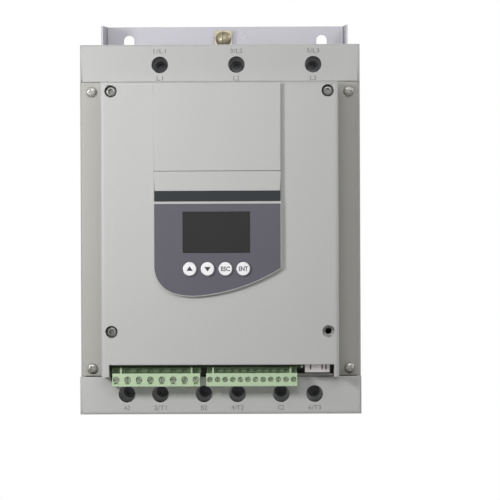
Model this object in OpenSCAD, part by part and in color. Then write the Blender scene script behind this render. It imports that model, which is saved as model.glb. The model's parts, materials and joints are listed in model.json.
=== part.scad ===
// Three-phase motor soft starter for wall mounting.
// Drawn lying on its back: x to the right, y up the wall, z out of the wall; upright() then stands it up.

/* [Housing] */
// Width of the housing over its side walls
body_w = 190; // [190:1:230]
// Height of the housing with both terminal covers
body_h = 250.5; // [246:0.1:275]
// Distance from the wall to the face of the side strips
strip_d = 205; // [198:1:240]
// Width of the side strips beside the front cover
strip_w = 15.6; // [12:0.1:16]
// Thickness of the moulded walls
wall_t = 3; // [2:0.1:4]
// Radius of the moulded outer edges
edge_r = 2.5; // [1:0.1:3]
// Radius of the mouldings' edges along a seam
lip_r = 0.6; // [0.3:0.1:1]
// Visible seam between mouldings
seam = 0.3; // [0.1:0.05:0.4]

/* [Chassis] */
// Height of the sheet metal chassis
chassis_h = 290; // [285:1:330]
// Distance from the chassis top edge down to the housing
body_drop = 33.8; // [30:0.1:40]
// Set-in of the chassis from the housing's sides
chassis_inset = 1.5; // [1.4:0.1:3]
// Thickness of the chassis sheet
sheet_t = 1.5; // [1:0.1:2]
// Depth of the folded side flanges
flange_d = 45; // [35:1:60]
// Fall of the flange ends from the back plate to the flanges' front edges
flange_step = 3.5; // [1:0.5:6]
// Width of the wall slots
slot_w = 8; // [6:0.5:9]
// Length of the wall slots
slot_len = 12; // [10:0.5:14]
// Distance between the wall slots across
slot_pitch_x = 150; // [120:1:160]
// Distance of the wall slots from the chassis ends
slot_edge = 12.5; // [11:0.5:14]
// Width of the earth terminal's saddle
saddle_w = 13.6; // [12:0.1:15]
// Height of the earth terminal's saddle
saddle_h = 13.4; // [12:0.1:15]
// Diameter of the earth screw's head
earth_head_dia = 10.6; // [9:0.1:11.4]

/* [Heat sink and fans] */
// Depth of the heat sink, fins and base together
sink_d = 80; // [78:1:84]
// Thickness of the heat sink's base
sink_base_t = 12; // [8:0.5:16]
// Number of thin fins between the two side legs
fin_count = 23; // [12:1:28]
// Thickness of a fin at its root
fin_root_t = 2.6; // [2:0.1:3.2]
// Thickness of a fin at its tip
fin_tip_t = 1.6; // [1:0.1:2]
// Width of the heat sink's side legs
leg_w = 7; // [5:0.5:9]
// Side of the square fans
fan_size = 80; // [76:1:82]
// Height of the fans along their axis
fan_h = 25; // [22:0.5:30]
// Distance between the fan axes
fan_pitch = 86; // [84:0.5:92]
// Height of the fans above the housing's lower end
fan_lift = 20; // [14:0.5:24]
// Number of blades on a fan rotor
blade_count = 7; // [5:1:9]
// Twist of a blade over its height in degrees
blade_twist = 34; // [20:1:45]
// Diameter of the fan hub
hub_dia = 34; // [28:1:38]
// Diameter of the fan shaft
shaft_dia = 4; // [3:0.1:5]

/* [Power path] */
// Distance between the three phases
phase_pitch = 52; // [50:0.5:54]
// Sideways offset of a terminal from the middle of its phase
terminal_shift = 11.3; // [11:0.1:12]
// Width of a thyristor module
module_w = 34; // [30:0.5:38]
// Length of a thyristor module
module_h = 94; // [88:1:96]
// Height of a thyristor module over the heat sink
module_d = 30; // [24:0.5:34]
// Width of the copper bars
bar_w = 15; // [12:0.5:16]
// Thickness of the copper bars
bar_t = 3; // [2:0.1:4]
// Distance from the strip face back to the terminal bars
bar_setback = 50; // [46:0.5:54]
// Width of a terminal cage
cage_w = 18; // [17:0.5:19]
// Diameter of the clamping screws
clamp_dia = 8; // [6:0.5:9]
// Diameter of the screwdriver holes in the terminal covers
tool_hole_dia = 11.2; // [9:0.1:12]
// Diameter of the cable holes in the terminal covers
cable_hole_dia = 15.5; // [12:0.1:16]

/* [Terminal covers] */
// Height of the top terminal cover
top_cover_h = 25.7; // [24:0.1:30]
// Height of the bottom terminal cover
bottom_cover_h = 25.8; // [23:0.1:30]
// Step of the bottom terminal cover in front of the side strips
cover_step = 8; // [5:0.5:8]
// Distance of the line terminals below the housing's top
line_drop = 13.9; // [12.5:0.1:14.5]
// Distance of the load terminals above the housing's lower end
load_rise = 13.8; // [12:0.1:14.2]

/* [Front cover] */
// Depth of the front cover in front of the side strips
front_cover_d = 24; // [22.5:0.5:28]
// Radius of the front cover's edges
front_edge_r = 2.6; // [2:0.1:4]
// Gap between the front cover and the top terminal cover
front_top_gap = 1.5; // [0.5:0.1:3]
// Height of the connector gap between the front cover and the bottom terminal cover
connector_gap = 8.5; // [8:0.1:9.5]
// Width of the front cover's left leg beside the connectors
left_leg_w = 5.2; // [3.5:0.1:5.4]
// Width of the front cover's right leg beside the connectors
right_leg_w = 3.3; // [3:0.1:4.5]
// Distance of the cover screws from the cover's sides
cover_screw_side = 7; // [6.5:0.1:9]
// Distance of the upper cover screws from the cover's top
cover_screw_top = 6.3; // [6:0.1:9]
// Distance of the lower cover screws from the cover's lower edge
cover_screw_low = 22.2; // [18:0.1:26]
// Diameter of the cover screw recesses
recess_dia = 8.2; // [7.5:0.1:8.6]

/* [Panel and keypad] */
// Width of the raised panel
panel_w = 85; // [80:0.5:92]
// Sideways place of the panel on the front cover
panel_x = -1.4; // [-4:0.1:4]
// Height of the blank upper panel
blank_h = 58.8; // [50:0.2:60]
// Thickness of the raised panel
panel_t = 3; // [2.4:0.1:4]
// Distance from the panel's seam down to the keypad faceplate
faceplate_drop = 21.8; // [20:0.1:26]
// Depth of the faceplate's lowest point below its top
faceplate_h = 62; // [60:0.1:66]
// Radius of the faceplate's lower left corner
corner_r = 19; // [14:0.5:24]
// Radius of the curve between the corner and the long lower curve
blend_r = 45.5; // [40:0.5:60]
// Radius of the long lower curve of the faceplate
sweep_r = 124.5; // [110:0.5:150]
// Distance from the panel's left side to the middle of the long lower curve
sweep_x = 19.2; // [16:0.1:22]
// Turn of the long lower curve at which the blend meets it, in degrees
blend_turn = 5; // [3:0.5:8]
// Thickness of the faceplate
faceplate_t = 1; // [0.6:0.1:1.2]
// Width of the dark name strip's field
strip_field_h = 7.2; // [5:0.1:9]
// Width of the display window
window_w = 45; // [38:0.5:48]
// Height of the display window
window_h = 27.6; // [22:0.1:28]
// Distance from the faceplate's top to the window
window_drop = 5.2; // [4:0.1:7]
// Sideways place of the window and the buttons
keypad_x = -2.1; // [-4:0.1:0]
// Diameter of the buttons
button_dia = 9.1; // [7:0.1:9.6]
// Distance between the buttons
button_pitch = 11.9; // [11.6:0.1:12.6]
// Distance from the faceplate's top down to the buttons
button_drop = 43.3; // [41:0.1:44]
// Travel of a button
button_travel = 1; // [0.6:0.1:1.4]
// Height of the buttons over the panel
button_rise = 2; // [1.6:0.1:3]

/* [Control connectors] */
// Distance between the poles of the relay plug
relay_pitch = 7.62; // [7.4:0.01:7.62]
// Number of poles of the relay plug
relay_poles = 8; // [4:1:8]
// Distance between the poles of the control plug
control_pitch = 5.08; // [5:0.01:5.1]
// Distance from the front cover's left side to the relay plug's first pole
relay_side = 6; // [4:0.1:8]
// Narrowing of the relay plug's body at each end
relay_trim = 1.05; // [0.5:0.05:1.4]
// Distance between the pole rows of the two plugs
plug_space = 3; // [2.5:0.1:6]
// Height of the plugs' front face
plug_face_h = 8.8; // [8.4:0.1:9.4]
// Depth of the plugs from back to front
plug_d = 12; // [11:0.1:13]
// Width of the serial socket
socket_w = 16.6; // [15:0.1:17]
// Distance from the front cover's right side to the serial socket
socket_side = 6.2; // [5:0.1:8]
// Least distance from the control plug to the serial socket
socket_space = 4.5; // [3:0.1:6]

/* [Hidden] */
$fn = 48;

// Heights, measured from the middle of the chassis
body_top = chassis_h / 2 - body_drop;
body_low = body_top - body_h;
room_top = body_top - top_cover_h;
room_low = body_low + bottom_cover_h;
mid_y = (room_top + room_low) / 2;
line_y = body_top - line_drop;
load_y = body_low + load_rise;

// Depths, measured from the wall
half_w = body_w / 2;
chassis_w = body_w - 2 * chassis_inset;
sink_gap = 0.2;
sink_w = chassis_w - 2 * sheet_t - 2 * sink_gap;
sink_face = sheet_t + sink_d;
duct_d = sink_face + 2.5;
module_face = sink_face + module_d;
bar_d = strip_d - bar_setback;
cap_d = strip_d + cover_step;
front_d = strip_d + front_cover_d;
panel_d = front_d + panel_t;

// Fans
fan_y = body_low + fan_lift;
fan_z = sheet_t + sink_d / 2;
fan_bore = fan_size - 4;
fan_hole = fan_size * 0.447;
fan_hole_dia = 4.4;
fan_screw_dia = 4;
fan_sides = [-1, 1];
sink_low = fan_y + fan_h;
sink_top = body_top - 2;
guard_t = 1.6;

// Front cover
front_w = body_w - 2 * strip_w;
front_top = room_top - front_top_gap;
front_low = room_low + connector_gap;
front_mid = (front_top + front_low) / 2;
front_h = front_top - front_low;
cover_screw_x = front_w / 2 - cover_screw_side;
cover_screw_ys = [front_top - cover_screw_top, front_low + cover_screw_low];
recess_floor = front_d - 6;
screw_dia = 4;
screw_clear = 0.2;
screw_boss = 9.5;
cover_boss = 12;

// Raised panel and keypad
panel_top = front_top - 1;
panel_seam = panel_top - blank_h;
panel_left = panel_x - panel_w / 2;
panel_right = panel_x + panel_w / 2;
plate_top = panel_seam - faceplate_drop;
plate_low = plate_top - faceplate_h;
plate_rim = 0.45;
plate_gap = 0.1;
plate_bed = panel_d - faceplate_t;
window_y = plate_top - window_drop - window_h / 2;
window_ledge = 2;
button_y = plate_top - button_drop;
button_gap = 0.3;
button_names = ["up", "down", "esc", "ent"];
key_flange = 1.8;
key_stem_dia = 3.4;
key_board_t = 1.6;
key_board_d = front_d - 11;
key_board_face = key_board_d + key_board_t;
switch_h = 3.5;
switch_bore = key_stem_dia + 0.2;
field_low = plate_top + 1.5;

// Control connectors
board_t = 1.6;
board_d = strip_d + 3;
board_face = board_d + board_t;
relay_x = -front_w / 2 + relay_side;
relay_w = relay_pitch * relay_poles;
control_x = relay_x + relay_w + plug_space;
socket_x = front_w / 2 - socket_side - socket_w / 2;
control_poles = floor((socket_x - socket_w / 2 - socket_space - control_x) / control_pitch);
control_w = control_pitch * control_poles;
header_drop = 5.5;
header_low = front_low - header_drop;
header_h = 13.5;
header_top = header_low + header_h;
header_d = 12.4;
plug_top = header_low - seam;
plug_low = plug_top - plug_face_h;
plug_back = cap_d + 1;
plug_front = plug_back + plug_d;
tongue_back = board_face + 3.6;
tongue_t = 4.6;
tongue_h = 10.5;
tongue_inset = 1.6;
tongue_gap = 0.3;
pin_side = 1;
pin_h = 6;
socket_d = 14;
gap_left = -front_w / 2 + left_leg_w;
gap_right = front_w / 2 - right_leg_w;
bed_depth = 2.5;
sill_h = 1.7;
harness_w = 60;
harness_h = 18;
foot_y = room_low + seam;

// Power path
phases = [-phase_pitch, 0, phase_pitch];
line_xs = [for (p = phases) p + terminal_shift];
load_xs = [for (p = phases) p - terminal_shift];
bypass_xs = [for (p = phases) p + terminal_shift];
outlet_xs = concat(load_xs, bypass_xs);
tap_y = 24;
bend_y = module_h / 2 + 5;
bar_reach = 9;
cage_wall = 3;
cage_nut = 7;
cage_room = 14;
cage_h = 15;
cage_back = bar_d - cage_wall;
cage_front = bar_d + bar_t + cage_room + cage_nut;
clamp_tip = bar_d + bar_t + cage_room - 0.5;
clamp_front = cage_front + 8;
cable_d = bar_d + bar_t + cage_room / 2;
base_t = 12;
base_h = 17;
slot_clear = 0.6;
tap_screw_dia = 5;
ct_wall = 3.2;
ct_gap = 0.2;
ct_h = 12;
pillar_x = phase_pitch / 2;
pillar_y = 36;
pillar_dia = 7;
firing_board_gap = 24;
firing_board_d = module_face + firing_board_gap;

// Stands the part up: height becomes +Z and the front faces -Y
module upright() rotate([90, 0, 0]) children();

// Box between two corners
module slab(x0, x1, y0, y1, z0, z1) translate([x0, y0, z0]) cube([x1 - x0, y1 - y0, z1 - z0]);

// Round bar along the depth
module post(x, y, z0, z1, dia) translate([x, y, z0]) cylinder(h = z1 - z0, d = dia);

// Sketch in x and depth, carried up the wall
module along_height(y0, y1) translate([0, y1, 0]) rotate([90, 0, 0]) linear_extrude(y1 - y0) children();

// Sketch in height and depth, carried across the part
module along_width(x0, x1) translate([x0, 0, 0]) rotate([90, 0, 90]) linear_extrude(x1 - x0) children();

// Outline of a block whose two front corners are round, each with its own radius
module front_profile(low, high, back, front, low_r, high_r) {
    translate([low, back]) square([(high - low) * 0.6, front - back - low_r]);
    translate([high - (high - low) * 0.6, back]) square([(high - low) * 0.6, front - back - high_r]);
    translate([low + low_r, back]) square([high - low - low_r - high_r, front - back]);
    translate([low + low_r, front - low_r]) circle(low_r);
    translate([high - high_r, front - high_r]) circle(high_r);
}

// Block with rounded front edges; its lower and upper edges have radii of their own
module pillow(x0, x1, y0, y1, z0, z1, side_r, low_r, high_r) intersection() {
    along_height(y0, y1) front_profile(x0, x1, z0, z1, side_r, side_r);
    along_width(x0, x1) front_profile(y0, y1, z0, z1, low_r, high_r);
}

// Rounded rectangle about the origin
module rounded_rect(w, h, r) {
    square([w, h - 2 * r], center = true);
    square([w - 2 * r, h], center = true);
    for (sx = [-1, 1], sy = [-1, 1]) translate([sx * (w / 2 - r), sy * (h / 2 - r)]) circle(r);
}

// Slot with round ends, standing up the wall
module slot_outline() {
    for (s = [-1, 1]) translate([0, s * (slot_len - slot_w) / 2]) circle(d = slot_w);
    square([slot_w, slot_len - slot_w], center = true);
}

// Chassis and earth terminal
earth_x = -1.4;
earth_drop = 10.2;
earth_y = chassis_h / 2 - earth_drop;
earth_dia = 6;
slot_pitch_z = chassis_h - 2 * slot_edge;
chassis_screw_ys = [mid_y - 60, mid_y + 60];
chassis_screw_d = 22;
chassis_screw_dia = 5;
fold_r = 1.5;
fold_d = fold_r + sheet_t;

module channel_profile() difference() {
    translate([0, flange_d]) mirror([0, 1])
        front_profile(-chassis_w / 2, chassis_w / 2, 0, flange_d, fold_d, fold_d);
    translate([0, flange_d]) mirror([0, 1])
        front_profile(-chassis_w / 2 + sheet_t, chassis_w / 2 - sheet_t, -1, flange_d - sheet_t, fold_r, fold_r);
}

// What is cut off the flanges above their sloping upper ends, in height and depth
flange_slope = flange_step / (flange_d - fold_d);
flange_waste = [[chassis_h / 2, fold_d], [chassis_h / 2 + 1, fold_d], [chassis_h / 2 + 1, flange_d + 1],
    [chassis_h / 2 - flange_step - flange_slope, flange_d + 1]];

module mounting_chassis() color("#c1c0c5") upright() difference() {
    along_height(-chassis_h / 2, chassis_h / 2) channel_profile();
    for (side = [0, 1]) mirror([0, side, 0]) along_width(-chassis_w, chassis_w) polygon(flange_waste);
    for (sx = [-1, 1], sy = [-1, 1])
        translate([sx * slot_pitch_x / 2, sy * slot_pitch_z / 2, -1])
            linear_extrude(sheet_t + 2) slot_outline();
    post(earth_x, earth_y, -1, sheet_t + 1, earth_dia + screw_clear);
    for (y = chassis_screw_ys) translate([-chassis_w, y, chassis_screw_d]) rotate([0, 90, 0])
        cylinder(h = 2 * chassis_w, d = chassis_screw_dia + screw_clear);
}

saddle_t = 1.8;
saddle_ear_t = 1.6;
saddle_corner = 1.5;
earth_wire_room = 4.5;
saddle_d = sheet_t + earth_wire_room;
saddle_face = saddle_d + saddle_t;
earth_rim_h = 1;
earth_dome_h = 3.2;
earth_dome_r = (pow(earth_head_dia / 2, 2) + pow(earth_dome_h, 2)) / (2 * earth_dome_h);
earth_slot_w = 1.2;
earth_slot_h = 1.6;
earth_tip = 0.3;

// Saddle that presses the earth wire on the back plate, standing on two ears
module earth_clamp() color("#b0a888") upright() translate([earth_x, earth_y, 0]) difference() {
    union() {
        translate([0, 0, saddle_d]) linear_extrude(saddle_t) rounded_rect(saddle_w, saddle_h, saddle_corner);
        for (s = [0, 1]) mirror([s, 0, 0])
            slab(saddle_w / 2 - saddle_ear_t, saddle_w / 2, -saddle_h / 2 + saddle_corner,
                saddle_h / 2 - saddle_corner, sheet_t, saddle_face - saddle_t / 2);
    }
    post(0, 0, -1, saddle_face + 1, earth_dia + screw_clear);
}

module earth_screw() color("#b8ae8c") upright() translate([earth_x, earth_y, 0]) difference() {
    union() {
        post(0, 0, earth_tip, saddle_face + earth_rim_h, earth_dia);
        translate([0, 0, saddle_face]) rotate_extrude() intersection() {
            translate([0, earth_rim_h + earth_dome_h - earth_dome_r]) circle(earth_dome_r, $fn = 96);
            square([earth_head_dia / 2, earth_rim_h + earth_dome_h + 1]);
        }
    }
    slab(-earth_slot_w / 2, earth_slot_w / 2, -earth_head_dia, earth_head_dia,
        saddle_face + earth_rim_h + earth_dome_h - earth_slot_h, saddle_face + earth_rim_h + earth_dome_h + 1);
}

module chassis_screws() color("#b9bbbe") upright()
    for (side = [-1, 1], y = chassis_screw_ys) translate([side * chassis_w / 2, y, chassis_screw_d])
        rotate([0, side * 90, 0]) {
            translate([0, 0, -sheet_t - leg_w]) cylinder(h = sheet_t + leg_w, d = chassis_screw_dia);
            cylinder(h = chassis_inset - 0.1, d = 9);
        }

// Heat sink and fans
fin_span = sink_w - 2 * leg_w;
fin_step = fin_span / (fin_count + 1);
fin_back = sink_face - sink_base_t;

function fin_points(x) = [[x - fin_root_t / 2, fin_back], [x - fin_tip_t / 2, sheet_t],
    [x + fin_tip_t / 2, sheet_t], [x + fin_root_t / 2, fin_back]];

sink_points = concat(
    [[sink_w / 2, sink_face], [-sink_w / 2, sink_face], [-sink_w / 2, sheet_t + fold_r],
        [-sink_w / 2 + fold_r, sheet_t], [-sink_w / 2 + leg_w, sheet_t], [-sink_w / 2 + leg_w, fin_back]],
    [for (i = [1:fin_count]) each fin_points(-fin_span / 2 + i * fin_step)],
    [[sink_w / 2 - leg_w, fin_back], [sink_w / 2 - leg_w, sheet_t], [sink_w / 2 - fold_r, sheet_t],
        [sink_w / 2, sheet_t + fold_r]]);

module fan_holes(x, dia, y0, y1) for (sx = [-1, 1], sz = [-1, 1])
    translate([x + sx * fan_hole, y1, fan_z + sz * fan_hole]) rotate([90, 0, 0]) cylinder(h = y1 - y0, d = dia);

fan_bite = 8;
module_fix_y = module_h / 2 - 7;
module_fix_dia = 5.5;
fix_bite = 9;

module heat_sink() color("#b4b6b8") upright() difference() {
    along_height(sink_low, sink_top) polygon(sink_points);
    for (s = fan_sides) fan_holes(s * fan_pitch / 2, fan_screw_dia + screw_clear, sink_low - 1, sink_low + fan_bite);
    for (p = phases, s = [-1, 1])
        post(p, mid_y + s * module_fix_y, sink_face - fix_bite, sink_face + 1, module_fix_dia + screw_clear);
    for (side = [-1, 1], y = chassis_screw_ys) translate([side * (sink_w / 2 + 1), y, chassis_screw_d])
        rotate([0, -side * 90, 0]) cylinder(h = leg_w + 2, d = chassis_screw_dia + screw_clear);
    for (sx = [-1, 1], sy = [-1, 1])
        post(sx * pillar_x, mid_y + sy * pillar_y, sink_face - 7, sink_face + 1, 4 + screw_clear);
}

fan_flange = 3.6;
hub_plate_t = 3;
bearing_dia = 10;
bearing_h = 13;
shaft_gap = 0.05;
strut_w = 4;

// Fan frame about its own axis, air leaving along +z
module fan_frame() difference() {
    union() {
        difference() {
            union() {
                for (z = [0, fan_h - fan_flange]) translate([0, 0, z])
                    linear_extrude(fan_flange) rounded_rect(fan_size, fan_size, 4);
                cylinder(h = fan_h, d = fan_size - 0.6);
            }
            translate([0, 0, -1]) cylinder(h = fan_h + 2, d = fan_bore);
        }
        translate([0, 0, fan_h - hub_plate_t]) {
            cylinder(h = hub_plate_t, d = hub_dia);
            for (a = [45:90:315]) rotate(a) translate([hub_dia / 2 - 2, -strut_w / 2])
                cube([fan_bore / 2 - hub_dia / 2 + 3, strut_w, hub_plate_t]);
        }
        translate([0, 0, fan_h - hub_plate_t - bearing_h]) cylinder(h = bearing_h, d = bearing_dia);
    }
    translate([0, 0, fan_h - hub_plate_t - bearing_h - 1])
        cylinder(h = bearing_h + hub_plate_t, d = shaft_dia + 2 * shaft_gap);
    for (sx = [-1, 1], sy = [-1, 1]) translate([sx * fan_hole, sy * fan_hole, -1])
        cylinder(h = fan_h + 2, d = fan_hole_dia);
}

// Fan rotor about its own axis
hub_low = 2.2;
hub_wall = 2;
blade_t = 1.5;
blade_gap = 0.8;
blade_low = 3.2;
blade_h = fan_h - hub_plate_t - blade_low - 2;

module fan_rotor() {
    translate([0, 0, hub_low]) difference() {
        cylinder(h = fan_h - hub_plate_t - hub_low - 1, d = hub_dia);
        translate([0, 0, hub_wall]) cylinder(h = fan_h, d = hub_dia - 2 * hub_wall);
    }
    translate([0, 0, hub_low]) cylinder(h = fan_h - hub_low - 1.5, d = shaft_dia);
    for (i = [0:blade_count - 1]) rotate(i * 360 / blade_count) intersection() {
        translate([0, 0, blade_low]) linear_extrude(height = blade_h, twist = blade_twist, slices = 6)
            translate([hub_dia / 2 - 1, -blade_t / 2]) square([fan_bore / 2 - hub_dia / 2 + 1, blade_t]);
        difference() {
            cylinder(h = fan_h, d = fan_bore - 2 * blade_gap);
            translate([0, 0, -1]) cylinder(h = fan_h + 2, d = hub_dia - 1);
        }
    }
}

// Puts a fan's own axis up the wall
module at_fan(side) translate([side * fan_pitch / 2, fan_y, fan_z]) rotate([-90, 0, 0]) children();

module fan_frame_left() color("#2b2c2e") upright() at_fan(-1) fan_frame();
module fan_frame_right() color("#2b2c2e") upright() at_fan(1) fan_frame();
module fan_rotor_left() color("#232426") upright() at_fan(-1) fan_rotor();
module fan_rotor_right() color("#232426") upright() at_fan(1) fan_rotor();

guard_rings = [0.22, 0.4, 0.58, 0.76, 0.94];
guard_bar = 2;

module fan_guard() translate([0, 0, -guard_t]) linear_extrude(guard_t) difference() {
    union() {
        for (k = guard_rings) difference() {
            circle(d = k * fan_size + guard_bar);
            circle(d = k * fan_size - guard_bar);
        }
        for (a = [45, 135]) rotate(a) square([2 * fan_hole * sqrt(2), guard_bar * 1.5], center = true);
        for (sx = [-1, 1], sy = [-1, 1]) translate([sx * fan_hole, sy * fan_hole]) circle(d = fan_hole_dia + 4);
    }
    for (sx = [-1, 1], sy = [-1, 1]) translate([sx * fan_hole, sy * fan_hole]) circle(d = fan_hole_dia);
}

module fan_guards() color("#303134") upright() for (s = fan_sides) at_fan(s) fan_guard();

module fan_screws() color("#a9abae") upright() for (s = fan_sides) {
    fan_holes(s * fan_pitch / 2, fan_screw_dia, fan_y - guard_t - 0.1, sink_low + fan_bite - 1);
    fan_holes(s * fan_pitch / 2, 7, fan_y - guard_t - 2, fan_y - guard_t);
}

// Housing
case_screw_x = half_w - strip_w / 2;
case_screw_ys = [room_top - 6.5, room_low + 5];
case_screw_dia = 3.5;
case_head_dia = 7;
case_head_h = 2.4;
case_bite = 12;
board_boss_x = front_w / 2 - 12;
board_boss_ys = [header_top + 5.5, front_top - 28];
board_boss_dia = 7;
bar_slot_d = bar_t + 2 * slot_clear;

module housing_shell() difference() {
    union() {
        along_height(room_low, room_top) front_profile(-half_w, half_w, duct_d, strip_d, edge_r, edge_r);
        slab(-half_w, half_w, body_low, body_top, flange_d + seam, duct_d);
    }
    slab(-half_w + wall_t, half_w - wall_t, room_low + wall_t, room_top - wall_t, 0, strip_d - wall_t);
    slab(-half_w + wall_t, half_w - wall_t, body_low - 1, body_top + 1, 0, duct_d - wall_t / 2);
    slab(-half_w + wall_t, half_w - wall_t, room_low + wall_t, room_top - wall_t, 0, duct_d + 1);
}

module bar_slots(xs, y) for (x = xs)
    slab(x - bar_w / 2 - slot_clear, x + bar_w / 2 + slot_clear, y - wall_t - 1, y + wall_t + 1,
        bar_d - slot_clear, bar_d + bar_t + slot_clear);

module housing_base() color("#b9bab7") upright() difference() {
    union() {
        housing_shell();
        for (sx = [-1, 1]) {
            for (y = case_screw_ys) post(sx * case_screw_x, y, strip_d - case_bite - 2, strip_d - 1, 8);
            for (y = cover_screw_ys) post(sx * cover_screw_x, y, strip_d - 12, strip_d - 1, screw_boss);
            for (y = board_boss_ys) post(sx * board_boss_x, y, strip_d - 1, board_d, board_boss_dia);
        }
        slab(control_x, gap_right - seam, room_low, room_low + sill_h, strip_d - 1, cap_d);
    }
    for (sx = [-1, 1]) {
        for (y = case_screw_ys)
            post(sx * case_screw_x, y, strip_d - case_bite - 1, strip_d + 1, case_screw_dia + screw_clear);
        for (y = cover_screw_ys)
            post(sx * cover_screw_x, y, strip_d - 11, strip_d + 1, screw_dia + screw_clear);
    }
    bar_slots(line_xs, room_top);
    bar_slots(outlet_xs, room_low);
    slab(-harness_w / 2, harness_w / 2, header_top, header_top + harness_h, strip_d - wall_t - 1, strip_d + 1);
}

module case_screws() color("#c9cacc") upright()
    for (sx = [-1, 1], y = case_screw_ys) difference() {
        union() {
            post(sx * case_screw_x, y, strip_d - case_bite, strip_d, case_screw_dia);
            post(sx * case_screw_x, y, strip_d, strip_d + case_head_h, case_head_dia);
        }
        for (a = [0, 90]) translate([sx * case_screw_x, y, strip_d + case_head_h]) rotate(a)
            cube([case_head_dia * 0.6, 0.9, case_head_h], center = true);
    }

// Terminal covers
module cover_holes(xs, y, y0, y1, face) for (x = xs) {
    post(x, y, face - wall_t - 1, face + 1, tool_hole_dia);
    translate([x, y1, cable_d]) rotate([90, 0, 0]) cylinder(h = y1 - y0, d = cable_hole_dia);
}

module top_terminal_cover() color("#c3c4c1") upright() difference() {
    pillow(-half_w, half_w, room_top + seam, body_top, duct_d + seam, strip_d, edge_r, lip_r, edge_r);
    slab(-half_w + wall_t, half_w - wall_t, room_top - 1, body_top - wall_t,
        duct_d + seam + wall_t, strip_d - wall_t);
    cover_holes(line_xs, line_y, body_top - wall_t - 1, body_top + 1, strip_d);
}

module bottom_terminal_cover() color("#bfc0bd") upright() difference() {
    pillow(-half_w, half_w, body_low, room_low - seam, duct_d + seam, cap_d, edge_r, edge_r, lip_r);
    slab(-half_w + wall_t, half_w - wall_t, body_low + wall_t, room_low + 1,
        duct_d + seam + wall_t, cap_d - wall_t);
    cover_holes(outlet_xs, load_y, body_low - 1, body_low + wall_t + 1, cap_d);
    slab(gap_left, relay_xs[0], room_low - seam - bed_depth, room_low + 1, cap_d - wall_t - 1, cap_d + 1);
}

// Lower outline of the keypad: a corner, a blend and a long curve, each arc tangent to the next
sweep_at = [panel_left + sweep_x, plate_low + sweep_r];
blend_at = sweep_at + (sweep_r - blend_r) * [sin(blend_turn), -cos(blend_turn)];
corner_x = panel_left + corner_r;
corner_at = [corner_x, blend_at[1] - sqrt(pow(blend_r - corner_r, 2) - pow(blend_at[0] - corner_x, 2))];
corner_turn = atan2(corner_at[0] - blend_at[0], blend_at[1] - corner_at[1]);
sweep_turn = asin(panel_w / sweep_r);

blend_lap = 5;

// Wedge that hangs below a point, between two turns from straight down
module wedge(at, reach, turn_0, turn_1) translate(at)
    polygon([[0, 0], for (t = [turn_0, (turn_0 + turn_1) / 2, turn_1]) reach * [sin(t), -cos(t)]]);

module keypad_outline(inset) {
    translate(corner_at) circle(corner_r - inset);
    intersection() {
        translate(blend_at) circle(blend_r - inset, $fn = 96);
        wedge(blend_at, 2 * blend_r, corner_turn, blend_turn + blend_lap);
    }
    intersection() {
        translate([panel_left + inset, plate_low]) square([panel_w - 2 * inset, faceplate_h]);
        translate(sweep_at) circle(sweep_r - inset, $fn = 96);
        union() {
            wedge(sweep_at, 2 * sweep_r, blend_turn, sweep_turn);
            translate([panel_left - 1, corner_at[1]]) square([panel_w + 2, plate_top - corner_at[1] + 1]);
        }
    }
}

keypad_inset = 5;

// Side walls running down to the bottom terminal cover, past the connectors
module cover_legs() intersection() {
    pillow(-front_w / 2, front_w / 2, foot_y, front_top, strip_d, front_d, front_edge_r, lip_r, front_edge_r);
    union() {
        slab(-front_w / 2, gap_left, foot_y, front_mid, strip_d, front_d);
        slab(gap_right, front_w / 2, foot_y, front_mid, strip_d, front_d);
    }
}

module front_cover() color("#c8c8c5") upright() difference() {
    union() {
        difference() {
            pillow(-front_w / 2, front_w / 2, front_low, front_top, strip_d, front_d,
                front_edge_r, lip_r, front_edge_r);
            slab(-front_w / 2 + wall_t, front_w / 2 - wall_t, front_low + wall_t, front_top - wall_t,
                strip_d - 1, front_d - wall_t);
        }
        cover_legs();
        for (sx = [-1, 1], y = cover_screw_ys)
            post(sx * cover_screw_x, y, strip_d, front_d - 1, cover_boss);
    }
    for (sx = [-1, 1], y = cover_screw_ys) {
        post(sx * cover_screw_x, y, strip_d - 1, front_d + 1, screw_dia + screw_clear);
        post(sx * cover_screw_x, y, recess_floor, front_d + 1, recess_dia);
    }
    slab(gap_left, gap_right, front_low - 1, front_low + wall_t + 1, strip_d - 1, front_d - wall_t);
    translate([0, 0, front_d - wall_t - 1]) linear_extrude(wall_t + 2) keypad_outline(keypad_inset);
}

cover_screws_at = [[-1, 0], [1, 0], [-1, 1]];

module cover_screws() color("#55565a") upright() for (at = cover_screws_at)
    translate([at[0] * cover_screw_x, cover_screw_ys[at[1]], 0]) difference() {
        union() {
            post(0, 0, strip_d - 10, recess_floor, screw_dia);
            post(0, 0, recess_floor, recess_floor + 4, recess_dia - 1.2);
        }
        translate([0, 0, recess_floor + 1.6]) cylinder(h = 4, d = 3.5, $fn = 6);
    }

// Raised panel and keypad
panel_edge_r = 0.9;
panel_lip_r = 0.3;

module blank_panel() color("#cacac7") upright()
    pillow(panel_left, panel_right, panel_seam + seam / 2, panel_top, front_d, panel_d,
        panel_edge_r, panel_lip_r, panel_edge_r);

key_xs = [for (i = [0:3]) keypad_x + (i - 1.5) * button_pitch];
bezel_post_dia = 5;
bezel_post_side = 5;
bezel_post_xs = [keypad_x - window_w / 2 - bezel_post_side, keypad_x + window_w / 2 + bezel_post_side];
bezel_post_ys = [plate_top - bezel_post_dia / 2, button_y + bezel_post_side];
key_board_edge = 4;
key_board_low = button_y - 6;

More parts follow.
